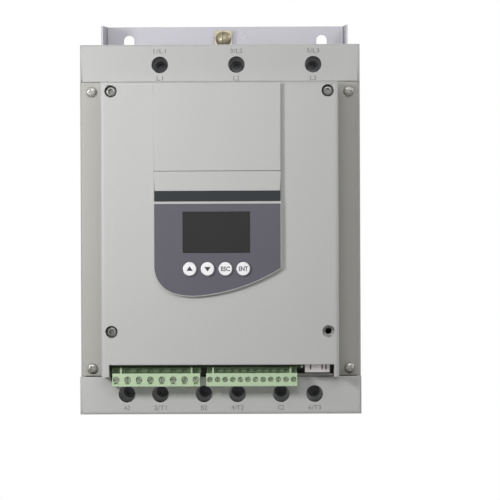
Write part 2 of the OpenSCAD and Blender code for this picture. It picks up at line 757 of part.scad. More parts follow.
module keypad_bezel() color("#c6c6c4") upright() difference() {
    union() {
        translate([0, 0, front_d]) linear_extrude(panel_t) keypad_outline(0);
        pillow(panel_left, panel_right, plate_top - 1, panel_seam - seam / 2, front_d, panel_d,
            panel_edge_r, panel_lip_r, panel_lip_r);
        slab(panel_left, panel_right, plate_top - 1, plate_top + 2, front_d, panel_d);
        for (x = bezel_post_xs, y = bezel_post_ys) post(x, y, key_board_face, front_d + 1, bezel_post_dia);
    }
    translate([0, 0, plate_bed]) linear_extrude(panel_t) keypad_outline(plate_rim);
    slab(panel_left + plate_rim, panel_right - plate_rim, field_low, field_low + strip_field_h,
        panel_d - 0.5, panel_d + 1);
    slab(keypad_x - window_w / 2 + window_ledge, keypad_x + window_w / 2 - window_ledge,
        window_y - window_h / 2 + window_ledge, window_y + window_h / 2 - window_ledge, front_d - 1, panel_d + 1);
    for (x = key_xs) post(x, button_y, front_d - 1, panel_d + 1, button_dia + 2 * button_gap);
}

module keypad_faceplate() color("#64626c") upright() difference() {
    translate([0, 0, plate_bed]) linear_extrude(faceplate_t) keypad_outline(plate_rim + plate_gap);
    slab(keypad_x - window_w / 2, keypad_x + window_w / 2, window_y - window_h / 2, window_y + window_h / 2,
        plate_bed - 1, panel_d + 1);
    for (x = key_xs) post(x, button_y, plate_bed - 1, panel_d + 1, button_dia + 2 * button_gap);
}

module name_strip() color("#2e3f45") upright()
    slab(panel_left + plate_rim + plate_gap, panel_right - plate_rim - plate_gap,
        field_low + plate_gap, field_low + strip_field_h - plate_gap, panel_d - 0.5, panel_d);

module display_window() color("#373737") upright()
    slab(keypad_x - window_w / 2 + plate_gap, keypad_x + window_w / 2 - plate_gap,
        window_y - window_h / 2 + plate_gap, window_y + window_h / 2 - plate_gap,
        plate_bed, panel_d - 0.2);

module display_module() color("#2a2a2c") upright()
    slab(keypad_x - window_w / 2 + window_ledge + 0.5, keypad_x + window_w / 2 - window_ledge - 0.5,
        window_y - window_h / 2 + window_ledge + 0.5, window_y + window_h / 2 - window_ledge - 0.5,
        key_board_face, plate_bed - 0.3);

module display_board() color("#2f5a3a") upright()
    slab(bezel_post_xs[0] - key_board_edge, bezel_post_xs[1] + key_board_edge, key_board_low, plate_top + 1.5,
        key_board_d, key_board_face);

module key_switches() color("#3a3a3c") upright() for (x = key_xs) difference() {
    slab(x - 3, x + 3, button_y - 3, button_y + 3, key_board_face, key_board_face + switch_h);
    post(x, button_y, key_board_face + 0.8, key_board_face + switch_h + 1, switch_bore);
}

module key_cap(x) translate([x, button_y, 0]) {
    post(0, 0, front_d - button_gap - key_flange, front_d - button_gap, button_dia + 2.4);
    post(0, 0, front_d - button_gap - 1, panel_d + button_rise - 0.7, button_dia);
    post(0, 0, key_board_face + 1 + button_travel, front_d - button_gap - 1, key_stem_dia);
    translate([0, 0, panel_d + button_rise - 0.7]) rotate_extrude() {
        square([button_dia / 2 - 0.7, 0.7]);
        translate([button_dia / 2 - 0.7, 0]) intersection() {
            circle(0.7);
            square(0.7);
        }
    }
}

module button_up() color("#f0f0f0") upright() key_cap(key_xs[0]);
module button_down() color("#f0f0f0") upright() key_cap(key_xs[1]);
module button_esc() color("#f0f0f0") upright() key_cap(key_xs[2]);
module button_ent() color("#f0f0f0") upright() key_cap(key_xs[3]);

// Control board and its connectors
module control_board() color("#2f5a3a") upright() difference() {
    slab(-front_w / 2 + wall_t + 4, front_w / 2 - wall_t - 1, header_low + 2, front_top - 22, board_d, board_face);
    for (sx = [-1, 1], y = cover_screw_ys)
        post(sx * cover_screw_x, y, board_d - 1, board_face + 1, cover_boss + 2);
}

header_floor = 2;
header_end_gap = 0.4;
header_lip_h = 3.7;
header_step = 2.6;
code_slot_h = 2.2;
code_slot_d = 1.3;
code_slot_share = 0.45;

// Shroud round a plug's tongue, its lower lip in front with a coding slot at each pole
module header(x0, w, xs, pitch) difference() {
    union() {
        slab(x0 + header_end_gap, x0 + w - header_end_gap, header_low, header_top,
            board_face, board_face + header_d - header_step);
        slab(x0 + header_end_gap, x0 + w - header_end_gap, header_low, header_low + header_lip_h,
            board_face, board_face + header_d);
    }
    slab(x0 + tongue_inset - tongue_gap, x0 + w - tongue_inset + tongue_gap, header_low - 1,
        header_top - header_floor, tongue_back - tongue_gap, tongue_back + tongue_t + tongue_gap);
    for (x = xs) translate([x, 0, board_face + header_d - code_slot_d])
        slab(-pitch * code_slot_share / 2, pitch * code_slot_share / 2,
            header_low - 1, header_low + code_slot_h, 0, code_slot_d + 1);
}

function pole_xs(x0, pitch, poles) = [for (i = [0:poles - 1]) x0 + (i + 0.5) * pitch];
relay_xs = pole_xs(relay_x, relay_pitch, relay_poles);
control_xs = pole_xs(control_x, control_pitch, control_poles);
pin_z = tongue_back + tongue_t / 2;

module relay_header() color("#3a4b32") upright() header(relay_x, relay_w, relay_xs, relay_pitch);
module control_header() color("#3a4b32") upright() header(control_x, control_w, control_xs, control_pitch);

module header_pins() color("#c2c3c4") upright() for (x = concat(relay_xs, control_xs))
    slab(x - pin_side / 2, x + pin_side / 2, header_top - header_floor - pin_h, header_top - header_floor,
        pin_z - pin_side / 2, pin_z + pin_side / 2);

plug_screw_y = plug_top - 4.2;
plug_edge_r = 0.5;
wire_side = 3;
wire_depth = 7;
wire_back = plug_back + 3;
key_rib_w = 1.2;
key_rib_h = 4;
key_rib_d = 1.4;
key_rib_place = 0.9;
key_rib_back = board_face + header_d + tongue_gap;
screw_seat = 3;
screw_sink = 1;
screw_slot_w = 0.7;
screw_slot_h = 0.9;
screw_head_gap = 0.1;
contact_side = pin_side + 0.6;
test_slot_w = 3;
test_slot_h = 0.9;
test_slot_y = plug_low + 1.5;

// Plug with a contact tongue above, clamp screws in front and wire entries below
module plug(x0, w, xs, pitch, trim, head_dia, slots) difference() {
    union() {
        pillow(x0 + trim, x0 + w - trim, plug_low, plug_top, plug_back, plug_front,
            plug_edge_r, plug_edge_r, plug_edge_r);
        slab(x0 + tongue_inset, x0 + w - tongue_inset, plug_top - 1, plug_top + tongue_h,
            tongue_back, tongue_back + tongue_t);
        slab(x0 + tongue_inset, x0 + w - tongue_inset, plug_top - 1, plug_top, tongue_back, plug_back + 1);
        for (x = [x0 + key_rib_place * pitch, x0 + w - key_rib_place * pitch])
            slab(x - key_rib_w / 2, x + key_rib_w / 2, plug_top - 1, plug_top + key_rib_h,
                key_rib_back, key_rib_back + key_rib_d);
    }
    for (x = xs) {
        post(x, plug_screw_y, plug_front - screw_seat, plug_front + 1, head_dia + 2 * screw_head_gap);
        slab(x - wire_side / 2, x + wire_side / 2, plug_low - 1, plug_low + wire_depth,
            wire_back, wire_back + wire_side);
        slab(x - contact_side / 2, x + contact_side / 2, plug_top + tongue_h - pin_h - 1.5,
            plug_top + tongue_h + 1, pin_z - contact_side / 2, pin_z + contact_side / 2);
        if (slots) slab(x - test_slot_w / 2, x + test_slot_w / 2, test_slot_y, test_slot_y + test_slot_h,
            plug_front - 1.2, plug_front + 1);
    }
}

relay_head_dia = 4.2;
control_head_dia = 3.5;

module relay_plug() color("#afc3a5") upright()
    plug(relay_x, relay_w, relay_xs, relay_pitch, relay_trim, relay_head_dia, true);
module control_plug() color("#afc3a5") upright()
    plug(control_x, control_w, control_xs, control_pitch, 0, control_head_dia, false);

// Slotted clamp screws, each turned to its own angle
module plug_screws(xs, dia) for (i = [0:len(xs) - 1]) translate([xs[i], plug_screw_y, 0]) difference() {
    post(0, 0, plug_front - screw_seat, plug_front - screw_sink, dia);
    rotate(i * 67 + 20) slab(-dia, dia, -screw_slot_w / 2, screw_slot_w / 2,
        plug_front - screw_sink - screw_slot_h, plug_front);
}

module relay_plug_screws() color("#7b7d78") upright() plug_screws(relay_xs, relay_head_dia);
module control_plug_screws() color("#7b7d78") upright() plug_screws(control_xs, control_head_dia);

socket_mouth_w = 11.9;
socket_mouth_d = 8;
socket_mouth_h = 12;
socket_mouth_back = cap_d + 0.8;

socket_latch_w = 6;
socket_latch_h = 9;
finger_slit_w = 0.8;
finger_slit_h = 8.6;
finger_slit_d = 0.6;
finger_slit_places = [-0.27, 0.2, 0.35];

module serial_socket() color("#b8babc") upright() difference() {
    slab(socket_x - socket_w / 2, socket_x + socket_w / 2, header_low, header_top, board_face, board_face + socket_d);
    slab(socket_x - socket_mouth_w / 2, socket_x + socket_mouth_w / 2, header_low - 1,
        header_low + socket_mouth_h, socket_mouth_back, socket_mouth_back + socket_mouth_d);
    slab(socket_x - socket_latch_w / 2, socket_x + socket_latch_w / 2, header_low - 1,
        header_low + socket_latch_h, socket_mouth_back - 1.6, socket_mouth_back + 1);
    for (share = finger_slit_places) translate([socket_x + share * socket_w, 0, board_face + socket_d])
        slab(-finger_slit_w / 2, finger_slit_w / 2, header_top - finger_slit_h - 3, header_top - 3,
            -finger_slit_d, 1);
}

// Power path
foot_w = module_w - 8;
foot_len = 14;
foot_t = 8;
fix_head_h = 4;
fix_head_dia = 9.5;
tap_rise = 4;
tap_pad = 18;
tap_bite = 10;
tap_head_h = 3.6;
tap_head_dia = 9;

module thyristor_module(p) translate([p, mid_y, sink_face]) difference() {
    union() {
        slab(-foot_w / 2, foot_w / 2, -module_h / 2, module_h / 2, 0, foot_t);
        slab(-module_w / 2, module_w / 2, -module_h / 2 + foot_len, module_h / 2 - foot_len, 0, module_d - tap_rise);
        for (y = [-tap_y, 0, tap_y]) slab(-tap_pad / 2, tap_pad / 2, y - tap_pad / 2, y + tap_pad / 2, 0, module_d);
    }
    for (s = [-1, 1]) post(0, s * module_fix_y, -1, foot_t + 1, module_fix_dia + screw_clear);
    for (s = [-1, 1]) post(0, s * tap_y, module_d - tap_bite - 1, module_d + 1, tap_screw_dia + screw_clear);
}

module thyristor_module_1() color("#3b3d42") upright() thyristor_module(phases[0]);
module thyristor_module_2() color("#3b3d42") upright() thyristor_module(phases[1]);
module thyristor_module_3() color("#3b3d42") upright() thyristor_module(phases[2]);

module module_screws() color("#b0b2b4") upright() for (p = phases, s = [-1, 1]) {
    post(p, mid_y + s * module_fix_y, sink_face - fix_bite + 1, sink_face + foot_t, module_fix_dia);
    post(p, mid_y + s * module_fix_y, sink_face + foot_t, sink_face + foot_t + fix_head_h, fix_head_dia);
}

module bar_screws() color("#b0b2b4") upright() for (p = phases, s = [-1, 1]) {
    head = module_face + bar_t * (s > 0 ? 1 : 2);
    post(p, mid_y + s * tap_y, module_face - tap_bite, head, tap_screw_dia);
    post(p, mid_y + s * tap_y, head, head + tap_head_h, tap_head_dia);
}

// Bent bar from a module's terminal (back) over a forward run to its cage; s is 1 up and -1 down
module power_bar(p, x, s, back, tip_y, run_y) translate([0, mid_y, 0]) mirror([0, s > 0 ? 0 : 1, 0]) difference() {
    union() {
        slab(p - bar_w / 2, p + bar_w / 2, tap_y - 8, run_y, back, back + bar_t);
        slab(min(p, x) - bar_w / 2, max(p, x) + bar_w / 2, run_y - bar_t, run_y, back, back + bar_w);
        slab(x - bar_w / 2, x + bar_w / 2, run_y - bar_t, run_y, back, bar_d + bar_t);
        slab(x - bar_w / 2, x + bar_w / 2, run_y - bar_t, tip_y, bar_d, bar_d + bar_t);
    }
    post(p, tap_y, back - 1, back + bar_t + 1, tap_screw_dia + screw_clear);
}

line_tip = line_y + bar_reach - mid_y;
load_tip = mid_y - load_y + bar_reach;
bypass_run = bend_y - bar_t - 4;

module line_bar(i) color("#c77b4a") upright() power_bar(phases[i], line_xs[i], 1, module_face, line_tip, bend_y);
module load_bar(i) color("#c77b4a") upright() power_bar(phases[i], load_xs[i], -1, module_face, load_tip, bend_y);
module bypass_bar(i) color("#c77b4a") upright()
    power_bar(phases[i], bypass_xs[i], -1, module_face + bar_t, load_tip, bypass_run);

module line_bar_1() line_bar(0);
module line_bar_2() line_bar(1);
module line_bar_3() line_bar(2);
module load_bar_1() load_bar(0);
module load_bar_2() load_bar(1);
module load_bar_3() load_bar(2);
module bypass_bar_1() bypass_bar(0);
module bypass_bar_2() bypass_bar(1);
module bypass_bar_3() bypass_bar(2);

ct_top = mid_y - bend_y - 6;

module current_transformer(i) color("#30353c") upright() difference() {
    slab(load_xs[i] - bar_w / 2 - ct_gap - ct_wall, load_xs[i] + bar_w / 2 + ct_gap + ct_wall,
        ct_top - ct_h, ct_top, bar_d - 9, bar_d + bar_t + 9);
    slab(load_xs[i] - bar_w / 2 - ct_gap, load_xs[i] + bar_w / 2 + ct_gap,
        ct_top - ct_h - 1, ct_top + 1, bar_d - ct_gap, bar_d + bar_t + ct_gap);
}

module current_transformer_1() current_transformer(0);
module current_transformer_2() current_transformer(1);
module current_transformer_3() current_transformer(2);

base_margin = 3;
rib_t = 2;

// Insulating base with a wall between neighbouring terminals
module terminal_base(xs, rib_xs, y0, y1) {
    slab(min(xs) - cage_w / 2 - base_margin, max(xs) + cage_w / 2 + base_margin, y0, y1,
        cage_back - base_t, cage_back);
    for (x = rib_xs) slab(x - rib_t / 2, x + rib_t / 2, y0, y1, cage_back - 1, clamp_front);
}

module terminal_bases() color("#35373a") upright() {
    terminal_base(line_xs, [for (i = [0, 1]) (line_xs[i] + line_xs[i + 1]) / 2], room_top, room_top + base_h);
    terminal_base(outlet_xs, concat(phases, [-pillar_x, pillar_x]), room_low - base_h, room_low);
}

module cage(x, y) difference() {
    slab(x - cage_w / 2, x + cage_w / 2, y - cage_h / 2, y + cage_h / 2, cage_back, cage_front);
    slab(x - bar_w / 2, x + bar_w / 2, y - cage_h, y + cage_h, bar_d, bar_d + bar_t + cage_room);
    post(x, y, bar_d, cage_front + 1, clamp_dia + screw_clear);
}

module terminal_cages() color("#b7b9bb") upright() {
    for (x = line_xs) cage(x, line_y);
    for (x = outlet_xs) cage(x, load_y);
}

clamp_socket_dia = 5;
clamp_socket_h = 5;

module clamp_screw(x, y) difference() {
    post(x, y, clamp_tip, clamp_front, clamp_dia);
    translate([x, y, clamp_front - clamp_socket_h])
        cylinder(h = clamp_socket_h + 1, d = clamp_socket_dia, $fn = 6);
}

module terminal_screws() color("#6a6c70") upright() {
    for (x = line_xs) clamp_screw(x, line_y);
    for (x = outlet_xs) clamp_screw(x, load_y);
}

board_side = 20;
board_edge = 4;

module firing_board() color("#2f5a3a") upright()
    slab(-phase_pitch - board_side, phase_pitch + board_side, mid_y - pillar_y - board_edge,
        mid_y + pillar_y + board_edge, firing_board_d, firing_board_d + board_t);

module board_pillars() color("#b9bbbd") upright() for (sx = [-1, 1], sy = [-1, 1]) {
    translate([sx * pillar_x, mid_y + sy * pillar_y, sink_face])
        cylinder(h = firing_board_d - sink_face, d = pillar_dia, $fn = 6);
    post(sx * pillar_x, mid_y + sy * pillar_y, sink_face - 6, sink_face + 1, 4);
}

mounting_chassis();
earth_clamp();
earth_screw();
chassis_screws();
heat_sink();
fan_frame_left();
fan_frame_right();
fan_rotor_left();
fan_rotor_right();
fan_guards();
fan_screws();
housing_base();
case_screws();
top_terminal_cover();
bottom_terminal_cover();
front_cover();
cover_screws();
blank_panel();
keypad_bezel();
keypad_faceplate();
name_strip();
display_window();
display_module();
display_board();
key_switches();
button_up();
button_down();
button_esc();
button_ent();
control_board();
relay_header();
control_header();
header_pins();
relay_plug();
control_plug();
relay_plug_screws();
control_plug_screws();
serial_socket();
thyristor_module_1();
thyristor_module_2();
thyristor_module_3();
module_screws();
bar_screws();
line_bar_1();
line_bar_2();
line_bar_3();
load_bar_1();
load_bar_2();
load_bar_3();
bypass_bar_1();
bypass_bar_2();
bypass_bar_3();
current_transformer_1();
current_transformer_2();
current_transformer_3();
terminal_bases();
terminal_cages();
terminal_screws();
firing_board();
board_pillars();
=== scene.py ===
"""Looks of a wall-mounted three-phase soft starter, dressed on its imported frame.

Sizes in fields are millimetres and colours are sRGB hex codes. Where a CAD node or one of the record's openings
gives a place, the place is worked out from there.
"""

import json
import logging
import math
from dataclasses import dataclass, field
from enum import Enum
from typing import Iterable, Sequence, Union

import bmesh
import bpy
import numpy as np
from mathutils import Matrix, Vector

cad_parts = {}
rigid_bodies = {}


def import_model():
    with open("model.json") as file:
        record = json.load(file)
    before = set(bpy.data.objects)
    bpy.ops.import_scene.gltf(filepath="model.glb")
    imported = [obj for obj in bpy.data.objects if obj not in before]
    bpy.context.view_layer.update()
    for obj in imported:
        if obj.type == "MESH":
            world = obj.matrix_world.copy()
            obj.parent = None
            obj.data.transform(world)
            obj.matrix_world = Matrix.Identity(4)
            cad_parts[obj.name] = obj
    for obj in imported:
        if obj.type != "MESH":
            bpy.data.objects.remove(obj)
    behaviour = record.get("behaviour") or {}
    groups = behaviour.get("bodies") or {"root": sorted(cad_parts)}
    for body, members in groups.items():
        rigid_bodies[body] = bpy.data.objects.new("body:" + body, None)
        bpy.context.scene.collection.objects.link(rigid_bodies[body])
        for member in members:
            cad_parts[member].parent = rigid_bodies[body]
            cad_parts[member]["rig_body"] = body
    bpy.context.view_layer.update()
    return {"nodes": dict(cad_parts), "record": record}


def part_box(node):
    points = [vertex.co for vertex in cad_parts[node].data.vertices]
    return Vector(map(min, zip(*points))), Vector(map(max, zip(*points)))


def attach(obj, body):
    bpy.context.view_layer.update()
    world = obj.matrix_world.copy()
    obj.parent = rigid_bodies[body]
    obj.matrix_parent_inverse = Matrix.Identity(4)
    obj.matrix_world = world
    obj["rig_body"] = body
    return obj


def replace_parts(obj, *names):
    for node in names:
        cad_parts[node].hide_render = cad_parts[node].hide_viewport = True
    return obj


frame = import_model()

MM = 0.001
LOG = logging.getLogger("soft_starter")

# Middle of a noise's range, half of a unit length, and an even share of two.
HALF = 0.5
# Distances in metres under which points are one: on a new surface, and on a CAD node's loose triangles.
SEAM = 1e-7
CAD_SEAM = 2e-6
# Angle under which two faces of a CAD node are one plane.
PLANE_DEG = 0.3
# Angles above which an edge stays sharp: on a new piece, on a copy of a CAD node and on a screw.
CREASE_DEG = 35.0
CAD_CREASE_DEG = 30.0
SCREW_CREASE_DEG = 50.0
# Angle above which an edge is rounded.
ROUND_DEG = 40.0
# Straight steps of a letter's curves.
LETTER_STEPS = 4
# Corners of a square with sides of 1 about its middle.
SQUARE = np.array([[-HALF, -HALF], [HALF, -HALF], [HALF, HALF], [-HALF, HALF]])

Colour = tuple[float, float, float]


def paint(code: str) -> Colour:
    """Turns an sRGB hex code into a linear colour.

    Args:
        code: Six hex digits, with or without a leading mark.

    Returns:
        Linear red, green and blue.
    """
    values = np.array([int(code.lstrip("#")[i:i + 2], 16) for i in (0, 2, 4)]) / 255.0
    linear = np.where(values <= 0.04045, values / 12.92, ((values + 0.055) / 1.055) ** 2.4)
    return tuple(float(v) for v in linear)


def shade(colour: Colour, share: float) -> Colour:
    """Multiplies a linear colour by a share."""
    return tuple(min(1.0, c * share) for c in colour)


class Wire:
    """One output socket of a node tree, with arithmetic that adds Math nodes."""

    def __init__(self, tree: "NodeTree", socket: bpy.types.NodeSocket) -> None:
        """Keeps the socket and the tree that owns it."""
        self.tree = tree
        self.socket = socket

    def math(self, operation: str, *values: "Value") -> "Wire":
        """Adds one Math node.

        Args:
            operation: Name of the Math node's operation.
            values: Its inputs, in order.

        Returns:
            The node's result.
        """
        return self.tree.node("Math", {"operation": operation}, dict(enumerate(values)))

    def __add__(self, other: "Value") -> "Wire":
        """Sum with a number or a wire."""
        return self.math("ADD", self, other)

    __radd__ = __add__

    def __sub__(self, other: "Value") -> "Wire":
        """Difference from a number or a wire."""
        return self.math("SUBTRACT", self, other)

    def __rsub__(self, other: "Value") -> "Wire":
        """A number less this wire."""
        return self.math("SUBTRACT", other, self)

    def __mul__(self, other: "Value") -> "Wire":
        """Product with a number or a wire."""
        return self.math("MULTIPLY", self, other)

    __rmul__ = __mul__

    def __pow__(self, other: "Value") -> "Wire":
        """Power of this wire."""
        return self.math("POWER", self, other)

    def __abs__(self) -> "Wire":
        """Value without its sign."""
        return self.math("ABSOLUTE", self)

    def maximum(self, other: "Value") -> "Wire":
        """The larger of two values."""
        return self.math("MAXIMUM", self, other)

    def minimum(self, other: "Value") -> "Wire":
        """The smaller of two values."""
        return self.math("MINIMUM", self, other)

    def step(self, edge: float, soft: float) -> "Wire":
        """Smooth step from 0 below an edge to 1 above it.

        Args:
            edge: Value in the middle of the step.
            soft: Half width of the step.

        Returns:
            A wire between 0 and 1.
        """
        settings = {"interpolation_type": "SMOOTHSTEP"}
        sockets = {"Value": self, "From Min": edge - soft, "From Max": edge + soft}
        return self.tree.node("MapRange", settings, sockets)


Value = Union[float, Wire]


class NodeTree:
    """A node tree that is filled through one method."""

    def __init__(self, tree: bpy.types.NodeTree) -> None:
        """Empties a node tree and keeps it."""
        self.tree = tree
        tree.nodes.clear()

    def feed(self, socket: bpy.types.NodeSocket, value: object) -> None:
        """Links a wire to a socket, or sets the socket's own value.

        Args:
            socket: Input socket.
            value: Wire, number, vector or colour.
        """
        if isinstance(value, Wire):
            self.tree.links.new(value.socket, socket)
        elif isinstance(value, tuple) and socket.type == "RGBA" and len(value) == 3:
            socket.default_value = (*value, 1.0)
        else:
            socket.default_value = value

    def node(self, kind: str, settings: dict | None = None, sockets: dict | None = None,
             out: int | str = 0) -> Wire:
        """Adds any node.

        Args:
            kind: Node type without its prefix.
            settings: Properties that are set first, such as a Math node's operation.
            sockets: Values or wires of the inputs, by name or number.
            out: Output that is returned.

        Returns:
            The chosen output.
        """
        made = self.tree.nodes.new("ShaderNode" + kind)
        for key, value in (settings or {}).items():
            setattr(made, key, value)
        for key, value in (sockets or {}).items():
            self.feed(made.inputs[key], value)
        return Wire(self, made.outputs[out])


class Recipe(NodeTree):
    """Node tree of one material, ending in a Principled shader."""

    def __init__(self, name: str) -> None:
        """Starts a material with an empty tree and its shader.

        Args:
            name: Name of the material.
        """
        self.material = bpy.data.materials.new(name)
        self.material.use_nodes = True
        super().__init__(self.material.node_tree)
        self.shader = self.tree.nodes.new("ShaderNodeBsdfPrincipled")
        output = self.tree.nodes.new("ShaderNodeOutputMaterial")
        self.tree.links.new(self.shader.outputs[0], output.inputs["Surface"])
        self.place = self.node("TexCoord", out="Object")

    def stretched(self, x: float, y: float, z: float) -> Wire:
        """Object coordinates scaled along each axis."""
        return self.node("Mapping", None, {"Vector": self.place, "Scale": (x, y, z)})

    def axis(self, name: str) -> Wire:
        """One object coordinate, in metres, by its letter."""
        return self.node("SeparateXYZ", None, {"Vector": self.place}, name.upper())

    def nearest(self, name: str, places: Sequence[float]) -> Wire:
        """Distance along one axis to the nearest of several places.

        Args:
            name: The axis' letter.
            places: The places in millimetres.

        Returns:
            The distance in metres.
        """
        here = self.axis(name)
        distance = abs(here - places[0] * MM)
        for place in places[1:]:
            distance = distance.minimum(abs(here - place * MM))
        return distance

    def noise(self, size_mm: float, detail: float = 2.0, vector: Wire | None = None) -> Wire:
        """Fractal noise from 0 to 1.

        Args:
            size_mm: Size of its coarsest features.
            detail: Number of octaves.
            vector: Coordinates, or None for the object's own.

        Returns:
            The noise value.
        """
        sockets = {"Vector": vector or self.place, "Scale": 1.0 / (size_mm * MM), "Detail": detail}
        return self.node("TexNoise", None, sockets, "Fac")

    def blend(self, share: Value, low: object, high: object) -> Wire:
        """Mixes two colours.

        Args:
            share: 0 for low and 1 for high.
            low: Colour or wire.
            high: Colour or wire.

        Returns:
            The mixed colour.
        """
        return self.node("Mix", {"data_type": "RGBA"}, {0: share, 6: low, 7: high}, 2)

    def varied(self, share: Wire, colour: Colour, spread: float) -> Wire:
        """A colour that gets darker and lighter by the same spread.

        Args:
            share: 0 for the darkest and 1 for the lightest.
            colour: The colour in the middle.
            spread: Share by which the ends differ from it.

        Returns:
            The varied colour.
        """
        return self.blend(share, shade(colour, 1 - spread), shade(colour, 1 + spread))

    def bump(self, height: Wire, depth_mm: float, strength: float = 1.0) -> Wire:
        """Normal bent by a height.

        Args:
            height: Height from 0 to 1.
            depth_mm: Depth of the full height.
            strength: Strength of the effect.

        Returns:
            The bent normal.
        """
        sockets = {"Height": height, "Distance": depth_mm * MM, "Strength": strength}
        return self.node("Bump", None, sockets, "Normal")

    def coat(self, **sockets: object) -> bpy.types.Material:
        """Sets the shader's sockets.

        Args:
            sockets: Values or wires by the sockets' names, with underscores for spaces.

        Returns:
            The material.
        """
        for key, value in sockets.items():
            self.feed(self.shader.inputs[key.replace("_", " ")], value)
        return self.material


class Finish:
    """A finish that mixes its material once and hands out the same one."""

    mixed: dict["Finish", bpy.types.Material] = {}

    def material(self) -> bpy.types.Material:
        """Mixes the finish's material on first use.

        Returns:
            The same material each time.
        """
        if self not in Finish.mixed:
            Finish.mixed[self] = self.mix(Recipe(self.name))
        return Finish.mixed[self]

    def mix(self, recipe: Recipe) -> bpy.types.Material:
        """Fills a recipe; each finish has its own."""
        raise NotImplementedError

    def with_painted_shade(self, recipe: Recipe, colour: Wire) -> Wire:
        """Colour of the surface with any painted shade; a plain finish paints none and keeps its own."""
        return colour


@dataclass(frozen=True)
class MouldedPlastic(Finish):
    """Spark-eroded moulded plastic: broad flow marks, fine grain and a soft gloss."""

    name: str
    code: str
    roughness: float = 0.55
    sheen: float = 0.42
    flow: float = 0.035
    flow_mm: float = 46.0
    flow_gloss: float = 0.08
    grain: float = 0.03
    grain_mm: float = 0.9
    grain_soft: float = 0.22
    grain_gloss: float = 0.18
    depth_mm: float = 0.012

    def mix(self, recipe: Recipe) -> bpy.types.Material:
        """Colour drifts with slow noise, and fine noise roughens and dents the surface.

        Args:
            recipe: Recipe that is filled.

        Returns:
            The material.
        """
        base = paint(self.code)
        drift = recipe.noise(self.flow_mm, detail=3.0)
        speck = recipe.noise(self.grain_mm, detail=3.0)
        broad = recipe.varied(drift, base, self.flow)
        fine = recipe.varied(speck.step(HALF, self.grain_soft), base, self.grain)
        colour = self.with_painted_shade(recipe, recipe.blend(HALF, broad, fine))
        gloss = self.roughness + (speck - HALF) * self.grain_gloss + (drift - HALF) * self.flow_gloss
        return recipe.coat(Base_Color=colour, Roughness=gloss, Normal=recipe.bump(speck, self.depth_mm),
                           Specular_IOR_Level=self.sheen)


@dataclass(frozen=True)
class HoledPlastic(MouldedPlastic):
    """Moulded plastic with painted shade inside its screwdriver holes."""

    hole_xs: tuple[float, ...] = ()
    hole_z: float = 0.0
    hole_r: float = 5.6
    hole_rim: float = 0.03
    hole_soft: float = 0.02
    # Colour of the painted shade inside the holes.
    hole_shade_code: str = "#2d2c2f"

    def with_painted_shade(self, recipe: Recipe, colour: Wire) -> Wire:
        """Paints shade: darkens what lies within the holes' radius of the nearest hole's axis.

        Args:
            recipe: Recipe that is filled.
            colour: Colour of the plain surface.

        Returns:
            The colour with painted shade in the holes.
        """
        across, upright = recipe.nearest("x", self.hole_xs), recipe.nearest("z", (self.hole_z,))
        distance = (across ** 2.0 + upright ** 2.0) ** 0.5
        outside = distance.step((self.hole_r + self.hole_rim) * MM, self.hole_soft * MM)
        return recipe.blend(outside, paint(self.hole_shade_code), colour)


@dataclass(frozen=True)
class ZincSheet(Finish):
    """Galvanised sheet: faint crystal spangle, rolling lines and a cool grey shine."""

    name: str
    code: str
    roughness: float = 0.46
    metallic: float = 0.62
    spread: float = 0.1
    gloss: float = 0.1
    wobble_mm: float = 6.25
    spangle_mm: float = 7.0
    spangle_share: float = 0.4
    line_mm: float = 1.4
    line_stretch: float = 0.03
    line_share: float = 0.35
    stain_mm: float = 70.0
    stain_share: float = 0.25
    depth_mm: float = 0.01
    relief: float = 0.6

    def mix(self, recipe: Recipe) -> bpy.types.Material:
        """Cells with their own brightness make the spangle, and stretched noise the rolling lines.

        Args:
            recipe: Recipe that is filled.

        Returns:
            The material.
        """
        waves = {"Vector": recipe.place, "Scale": 1.0 / (self.wobble_mm * MM), "Detail": 2.0}
        wobble = recipe.node("TexNoise", None, waves, "Color")
        moved = recipe.node("VectorMath", {"operation": "ADD"}, {0: recipe.place, 1: wobble})
        grid = {"Vector": moved, "Scale": 1.0 / (self.spangle_mm * MM)}
        cells = recipe.node("TexVoronoi", {"feature": "F1"}, grid, "Color")
        spangle = recipe.node("SeparateColor", None, {"Color": cells}, "Red")
        lines = recipe.noise(self.line_mm, 3.0, recipe.stretched(1.0, 1.0, self.line_stretch))
        stain = recipe.noise(self.stain_mm, detail=4.0)
        tone = spangle * self.spangle_share + lines * self.line_share + stain * self.stain_share
        gloss = self.roughness + (spangle - HALF) * self.gloss + (lines - HALF) * self.gloss
        return recipe.coat(Base_Color=recipe.varied(tone, paint(self.code), self.spread), Metallic=self.metallic,
                           Roughness=gloss,
                           Normal=recipe.bump(spangle * HALF + lines * HALF, self.depth_mm, self.relief))


